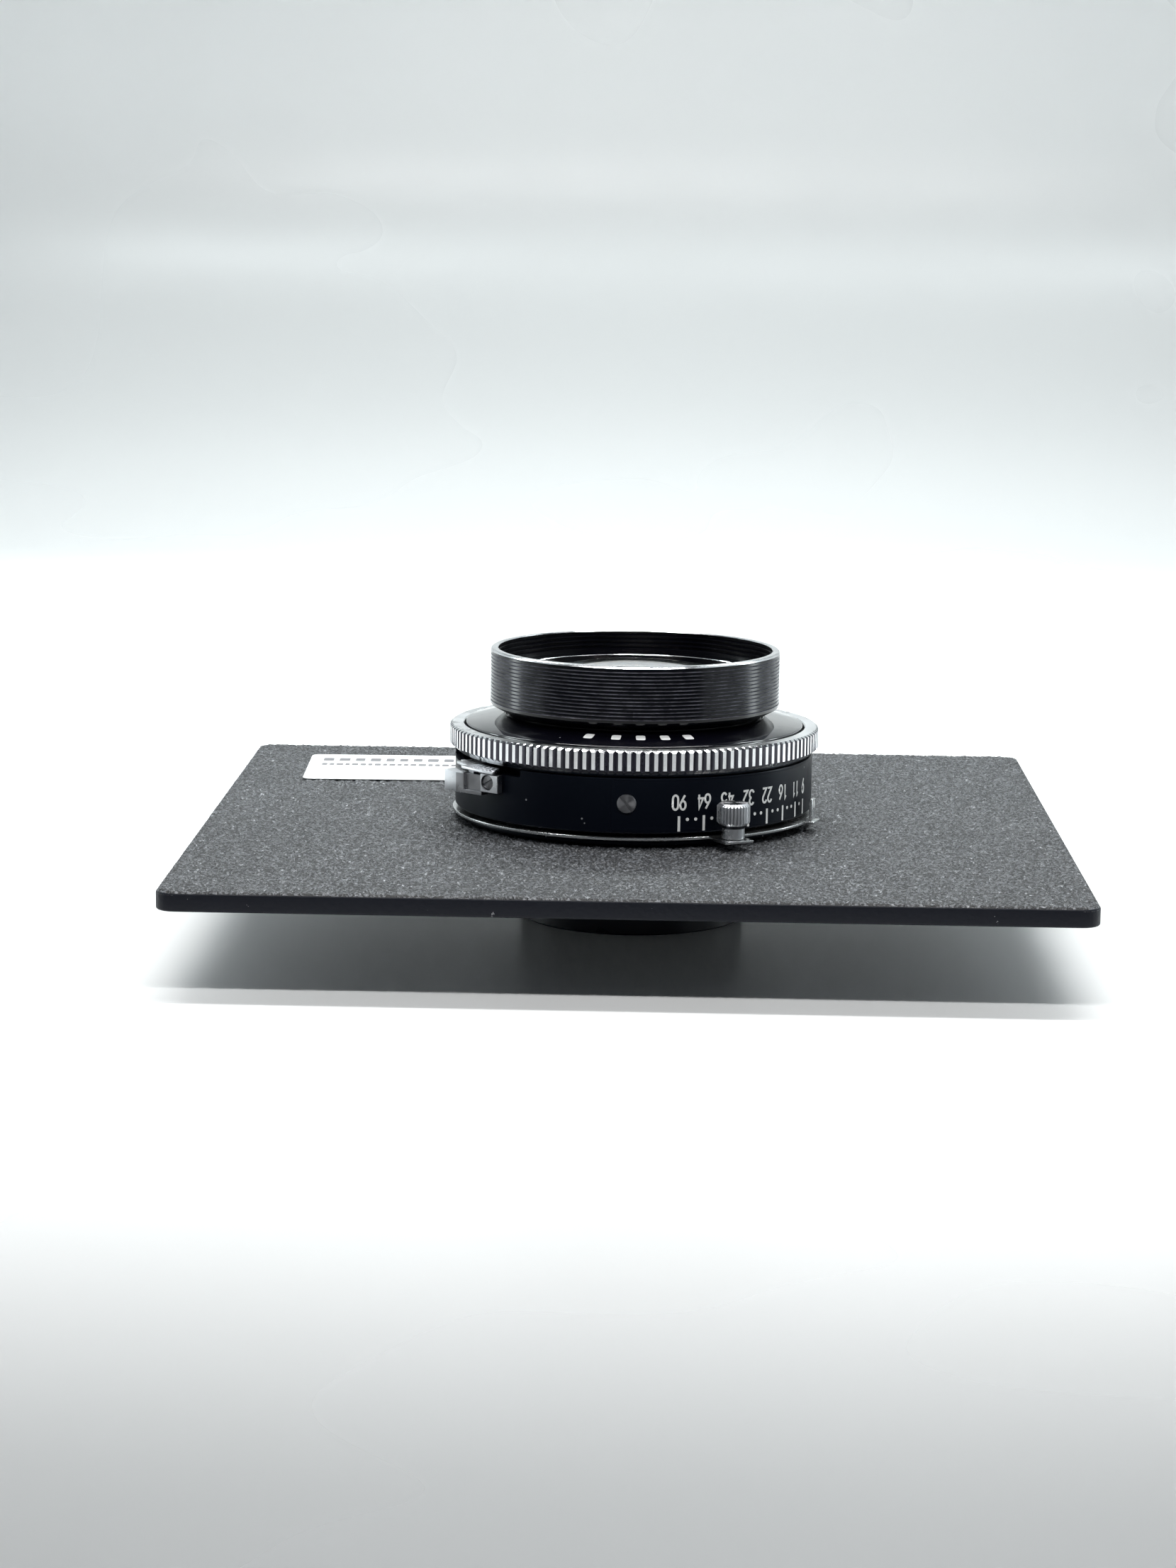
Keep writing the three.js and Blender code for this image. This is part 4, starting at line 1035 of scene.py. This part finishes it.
def make_aperture_knob():
    """Upright knurled knob on a plain shank, with a black cone under the knurl."""
    bottom, top = low("aperture_knob").z, high("aperture_knob").z
    radius, shank, teeth, depth = 2.65, 1.8, 30, 0.38
    samples = 4 * teeth
    edge = 0.5
    rows = [
        (0.0, bottom), (shank - 0.1, bottom), (shank, bottom + 0.12), (shank, bottom + 1.7),
        (radius - 0.45, bottom + 2.25), (radius, bottom + 2.7),
        (radius, top - edge), (radius - 0.45, top - 0.06), (radius - 0.6, top), (0.0, top),
    ]
    bm = bmesh.new()
    rings = []
    for row, (r, z) in enumerate(rows):
        if r == 0.0:
            rings.append([bm.verts.new((0, 0, z))])
            continue
        run_out = {5: -0.9, 6: 0.9}.get(row)  # how the grooves end on the two chamfers
        ring = []
        for k in range(samples):
            groove = depth if run_out and k % 4 == 2 else 0.0
            height = z + groove * run_out if run_out else z
            ring.append(bm.verts.new((*polar(r - groove, FULL_TURN * k / samples), height)))
        rings.append(ring)
    for one, two in zip(rings, rings[1:]):
        bridge(bm, one, two)
    x, y = polar(KNOB_AT, bearing(KNOB_AZ))
    shift(bm, x, y)
    cap = turned_steel("knob_cap", Vector((x, y, top)) * MM)
    materials = [CHROME, SATIN, cap]
    obj = to_object("knob", "aperture_knob", bm, materials, "aperture_selector")
    for face in obj.data.polygons:
        z = face.center.z / MM
        if bottom + 1.72 < z < bottom + 2.3:
            face.material_index = 1
        elif z > top - 0.05:
            face.material_index = 2


# ---- speed ring and face plate

def make_speed_ring():
    """The knurled ring: straight V grooves that run out in pointed ends at the two chamfers."""
    teeth, depth, crest = 134, 0.48, 0.42
    inner, foot, shoulder = 28.1, 29.3, 30.08
    face_low, face_high = 28.95, 31.78
    marks = []
    for i in range(teeth):
        for part, groove in ((0.0, 0.0), (crest, 0.0), (0.5 + crest / 2, depth)):
            marks.append(((i + part) / teeth, groove))
    foot_slope = (face_low - RING_BOTTOM - 0.15) / (RING_R - foot)
    top_slope = (RING_TOP - face_high) / (RING_R - shoulder)
    bm = bmesh.new()
    columns = []
    for share, groove in marks:
        angle = FULL_TURN * share
        profile = [
            (inner, RING_BOTTOM), (foot - 0.1, RING_BOTTOM), (foot, RING_BOTTOM + 0.15),
            (RING_R - groove, face_low - groove * foot_slope),
            (RING_R - groove, face_high + min(groove, RING_R - shoulder) * top_slope),
            (shoulder, RING_TOP), (28.25, RING_TOP), (inner, RING_TOP - 0.15),
        ]
        if groove > RING_R - shoulder:
            profile[4:6] = [(RING_R - groove, RING_TOP)] * 2
        columns.append([bm.verts.new((*polar(r, angle), z)) for r, z in profile])
    for one, two in zip(columns, columns[1:] + columns[:1]):
        bridge(bm, one, two)
    materials = [RING_CHROME, RING_TOP_CHROME, GROOVE_SHADE_CHROME]
    obj = to_object(
        "knurled_ring", "speed_ring", bm, materials, "speed_selector", 18.0
    )
    # Painted shade: the flanks of the grooves get the darker groove shade chrome; flat tops get the brushed
    # top chrome.
    for face in obj.data.polygons:
        x, y, z = face.center / MM
        reach = math.hypot(x, y)
        outward = abs(face.normal.x * x + face.normal.y * y) / reach
        upright = face_low < z < face_high and abs(face.normal.z) < 0.3
        if face.normal.z > 0.9:
            face.material_index = 1
        elif upright and outward < 0.95 and reach > foot:
            face.material_index = 2


def make_face_plate():
    """Gloss black plate, a shallow cone that rises to its bore, with five plain index marks."""
    inner = 21.3
    bottom = low("face_plate").z
    slope = (FACE_TOP - FACE_EDGE) / (FACE_R - inner)
    profile = soften([
        (inner, bottom), (FACE_R, bottom), (FACE_R, FACE_EDGE - 0.1), (FACE_R - 0.12, FACE_EDGE),
        (inner + 0.2, FACE_TOP), (inner, FACE_TOP - 0.1),
    ], 0.06)
    to_object("front_plate", "face_plate", turn_mesh(profile, 192), [GLOSS])
    marks = bmesh.new()
    for azimuth in (-17.0, -6.3, 3.1, 12.5, 21.8):
        shape = rounded_rectangle(0.95, 0.75, 0.35, 3)
        piece = outline_mesh([shape], FACE_EDGE - 0.02, FACE_EDGE + 0.035)
        merge(marks, swing(shift(piece, 23.8), azimuth))
    for vertex in marks.verts:
        vertex.co.z += slope * (FACE_R - math.hypot(vertex.co.x, vertex.co.y))
    to_object("index_marks", None, marks, [WHITE_INK])


# ---- levers and sockets

def make_release_lever():
    """Flat arm with a finger pad whose upper face is serrated, and a tab bent down from its rim."""
    bottom = LEVER_TOP - 0.5
    outline = sector(28.7, 32.4, -59, -43, 20, round_end=1.0, round_start=0.4, inner_end=-47.5)
    pad = outline_mesh([outline], bottom, LEVER_TOP, 0.14)
    neck = outline_mesh([sector(29.9, 31.3, -66, -58, 12)], bottom, LEVER_TOP, 0.08)
    hook = outline_mesh([sector(25.8, 30.2, -68, -60, 12)], bottom, LEVER_TOP, 0.08)
    tab_bottom = low("release_lever").z
    tab = outline_mesh([sector(30.5, 31.2, -57.8, -55.0, 5)], tab_bottom, LEVER_TOP - 0.1, 0.1)
    bm = weld(pad, neck, hook, tab)
    for i in range(6):
        ridge = box_mesh((2.5, 0.72, 0.5), (30.8, 0, LEVER_TOP - 0.06), 0.2)
        turn(ridge, math.radians(25), centre=(30.9, 0, 0))
        bm = weld(bm, swing(ridge, -45.4 - 1.9 * i))
    to_object("release_arm", "release_lever", bm, [CHROME], "release")


# The cable bracket is a straight bar: its flat face has its middle line at one azimuth, and its
# pieces are placed along that face.
BRACKET_AZ, BRACKET_FACE = -37.0, 30.7


def bracket_block(start, end, back, bottom, top, bevel):
    size = (BRACKET_FACE - back, end - start, top - bottom)
    centre = ((BRACKET_FACE + back) / 2, (start + end) / 2, (bottom + top) / 2)
    return box_mesh(size, centre, bevel)


def make_cable_socket():
    """Bracket for a cable release: a threaded block, a framed window and a lug with its sunk screw."""
    bottom, top = low("cable_release_socket").z, high("cable_release_socket").z
    block = [
        (27.4, -10.9), (27.4, -15.6), (29.9, -15.6), (BRACKET_FACE, -12.5), (BRACKET_FACE, -10.9),
    ]
    window = box_mesh((1.2, 3.9, 2.8), (29.5, -9.05, bottom + 1.8), 0.1)
    bm = weld(
        outline_mesh([block], bottom, bottom + 3.3, 0.12),
        window,
        bracket_block(-12.1, -7.2, 28.0, bottom, bottom + 0.6, 0.08),
        bracket_block(-7.4, -3.8, 28.0, bottom + 0.6, top, 0.10),
    )
    body = rod(29.8, bottom - 1, top + 1, 256)
    thread = [(0.0, -2.4)]
    y = -2.4
    while y < 2.4:
        thread += [(1.12, y), (1.12, y + 0.12), (1.28, y + 0.22), (1.28, y + 0.30)]
        y += 0.4
    thread += [(1.45, 2.6), (0.0, 2.6)]
    bore = turn(pin_mesh(thread, 40), math.pi / 2, "X")
    shift(bore, 28.55, -14.4, bottom + 1.65)
    screw_z = 25.1
    tools = []
    for radius, inner in ((0.9, 27.0), (1.25, 29.93)):
        tools.append(shift(lay_radial(rod(radius, inner, 32.0, 40), screw_z), y=-6.0))
    bm = swing(carve(bm, body, bore, *tools), BRACKET_AZ)
    materials = [CHROME, WINDOW_SHADE_CHROME]
    obj = to_object("cable_bracket", "cable_release_socket", bm, materials)
    facing = polar(1.0, bearing(BRACKET_AZ))
    # Painted shade: the faces in and about the bracket's window get the darker chrome.
    for face in obj.data.polygons:
        out = (face.center.x * facing[0] + face.center.y * facing[1]) / MM
        along = (face.center.y * facing[0] - face.center.x * facing[1]) / MM
        front = face.normal.x * facing[0] + face.normal.y * facing[1] > 0.999
        if -12.5 < along < -7.2 and (front or out < 30.2):
            face.material_index = 1
    radial_screw(
        "bracket_screw", "cable_socket_screw", 1.16, 0.42, 30.0, -6.0, screw_z, BRACKET_AZ,
        math.radians(120),
    )


def make_focusing_lever():
    """The drive ring of the shutter blades with its bent lever, which stands out at the back."""
    bottom = low("blade_drive_ring").z
    flat_top = bottom + 0.35
    flat = outline_mesh([circle(28.0, 128), circle(24.2, 128)], bottom, flat_top)
    reach, width, top = 33.8, 3.2, high("blade_drive_ring").z
    size = (reach - 27.5, width, 0.35)
    arm = swing(box_mesh(size, ((reach + 27.5) / 2, 0, bottom + 0.175), 0.08), PREVIEW_AZ)
    size = (0.7, width, top - bottom)
    tab = swing(box_mesh(size, (reach - 0.35, 0, (top + bottom) / 2), 0.16), PREVIEW_AZ)
    bm = weld(flat, arm, tab)
    to_object("drive_ring", "blade_drive_ring", bm, [CHROME], "blade_drive")


def make_sync_terminal():
    start, end, outer, inner = 28.5, 33.4, 1.75, 1.2
    bottom = start + 1.2
    profile = soften([
        (0.0, start), (outer, start), (outer, end), (inner, end), (inner, bottom), (0.0, bottom),
    ], 0.12, closed=False)
    bm = swing(lay_radial(pin_mesh(profile, 48), SYNC_Z), SYNC_AZ)
    to_object("sync_sleeve", "sync_terminal", bm, [CHROME])


# ---- lens cells

def make_front_barrel():
    """Front cell: neck, flared shoulder, finely grooved barrel, bright rim and filter thread."""
    neck, filter_r = 20.9, 22.6
    flange_bottom = 32.7
    grooves, pitch, first = 14, 0.585, 35.95
    deep = BARREL_R - 0.2
    outside = [
        (16.4, 25.1), (18.4, 25.1), (18.4, flange_bottom), (21.05, flange_bottom),
        (21.05, 32.95), (20.75, 33.0), (20.75, 33.1), (21.0, 33.15), (21.0, 33.3),
        (neck - 0.2, 33.35), (neck - 0.2, 33.9), (21.3, 34.0), (BARREL_R - 0.12, 35.35),
        (BARREL_R, 35.5), (BARREL_R, first),
    ]
    for i in range(grooves):
        z = first + i * pitch
        outside += [
            (deep, z + 0.15), (deep, z + 0.21), (BARREL_R, z + 0.25), (BARREL_R - 0.05, z + pitch),
        ]
    outside += [
        (BARREL_R, RIM_TOP - 0.34), (BARREL_R - 0.12, RIM_TOP - 0.12), (BARREL_R - 0.34, RIM_TOP),
    ]
    inside = [(filter_r + 0.12, RIM_TOP), (filter_r, RIM_TOP - 0.12)]
    thread_pitch, thread_r = 0.75, filter_r + 0.32
    z = RIM_TOP - 0.3
    while z > 41.6:
        inside += [(filter_r, z), (thread_r, z - 0.22), (thread_r, z - 0.34), (filter_r, z - 0.56)]
        z -= thread_pitch
    inside += [(filter_r, 39.6), (19.6, 39.6), (19.6, 35.9), (17.6, 35.9), (17.6, 31.2), (16.4, 31.2)]
    bm = turn_mesh(outside + inside, 192)
    materials = [ANODISED, BRIGHT, GROOVE]
    obj = to_object("front_cell", "front_barrel", bm, materials, sharp=24.0)

    def finish_of(r, z):
        if z > RIM_TOP - 0.33 and r > filter_r + 0.05:
            return 1
        grooved = first < z < first + grooves * pitch
        return 2 if grooved and abs(r - BARREL_R + 0.12) < 0.02 else 0

    paint(obj, finish_of)


def make_retaining_ring(name, node, inner, outer, bottom, top, notch_az, notch, body_material, lip):
    """A threaded ring with two spanner notches and a bright edge at its bore."""
    profile = [
        (inner, bottom), (outer, bottom), (outer, top - 0.1), (outer - 0.1, top),
        (inner + 0.5, top), (inner + 0.12, top + lip), (inner, top + lip - 0.1),
    ]
    size = (outer - inner, notch, 2.0)
    tools = [swing(box_mesh(size, (outer, 0, top + 0.35), 0.1), azimuth) for azimuth in notch_az]
    bm = carve(turn_mesh(profile, 160), *tools)
    obj = to_object(name, node, bm, [body_material, BRIGHT])
    paint(obj, lambda r, z: 1 if r < inner + 0.3 and z > top - 0.15 else 0)


def dome(radius, apex, edge, steps=14):
    return [(radius * k / steps, apex + (edge - apex) * (k / steps) ** 2) for k in range(steps + 1)]


def make_element(name, node, radius, low_apex, low_edge, high_edge, high_apex):
    lower = dome(radius, low_apex, low_edge)
    upper = list(reversed(dome(radius, high_apex, high_edge)))
    to_object(name, node, pin_mesh(lower + upper, 128), [GLASS])


def make_rear_barrel():
    profile = [
        (17.0, 0.15), (17.15, 0.0), (REAR_R - 0.3, 0.0), (REAR_R, 0.3), (REAR_R, 9.4),
        (REAR_R - 0.15, 9.5), (REAR_R - 0.15, 9.8), (REAR_R, 9.9), (REAR_R, 17.2),
        (13.6, 17.2), (13.6, 11.4), (14.9, 11.4), (14.9, 6.6), (17.0, 6.6),
    ]
    bm = turn_mesh(profile, 160)
    to_object("rear_cell", "rear_barrel", bm, [REAR_ANODISED])


# ---- CAD pieces that stay

def finish_cad_nodes():
    """Gives the CAD pieces that stay their materials."""
    looks = {
        "scale_plate_screw": STEEL, "cable_socket_screw": STEEL, "speed_cam": STEEL,
        "main_spring": STEEL, "cocking_lever_stud": STEEL, "retard_gear_stud": STEEL,
        "escape_wheel_stud": STEEL,
        "blade_divider": BLUED, "mechanism_lid": SATIN, "retard_gear": BRASS, "escape_wheel": BRASS,
        "sync_contact": BRASS, "mechanism_deck": SATIN, "cocking_lever": CHROME,
        "front_spacer": SATIN, "rear_spacer": SATIN, "rear_retaining_ring": ANODISED,
    }
    for name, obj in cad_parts.items():
        look = looks.get(name, BLUED if "blade" in name else None)
        if look is None:
            continue
        obj.data.materials.clear()
        obj.data.materials.append(look)


make_camera()
make_floor()
make_light()
make_board()
make_board_paint()
make_label()
make_board_nut()
make_rear_mount()
make_housing()
make_scale_strip()
radial_screw(
    "scale_screw", "scale_plate_screw", 1.55, 0.32, BODY_R + 0.02, 0.0, SCALE_SCREW_Z,
    SCALE_SCREW_AZ, math.radians(40),
)
make_scale_print()
make_aperture_ring()
make_aperture_knob()
make_speed_ring()
make_face_plate()
make_release_lever()
make_cable_socket()
make_focusing_lever()
make_sync_terminal()
make_front_barrel()
make_retaining_ring(
    "front_retainer", "front_retaining_ring", 19.5, 22.3, 39.9, 40.7, (22.0, 202.0), 1.3,
    ANODISED, 0.2,
)
make_element("front_glass", "front_outer_element", 19.3, 36.0, 36.3, 39.7, 42.3)
make_element("front_inner_glass", "front_inner_element", 17.3, 32.3, 31.5, 34.2, 33.5)
make_rear_barrel()
make_element("rear_glass", "rear_outer_element", 16.7, 1.4, 2.9, 6.2, 6.5)
make_element("rear_inner_glass", "rear_inner_element", 14.6, 9.2, 8.5, 11.1, 10.4)
finish_cad_nodes()
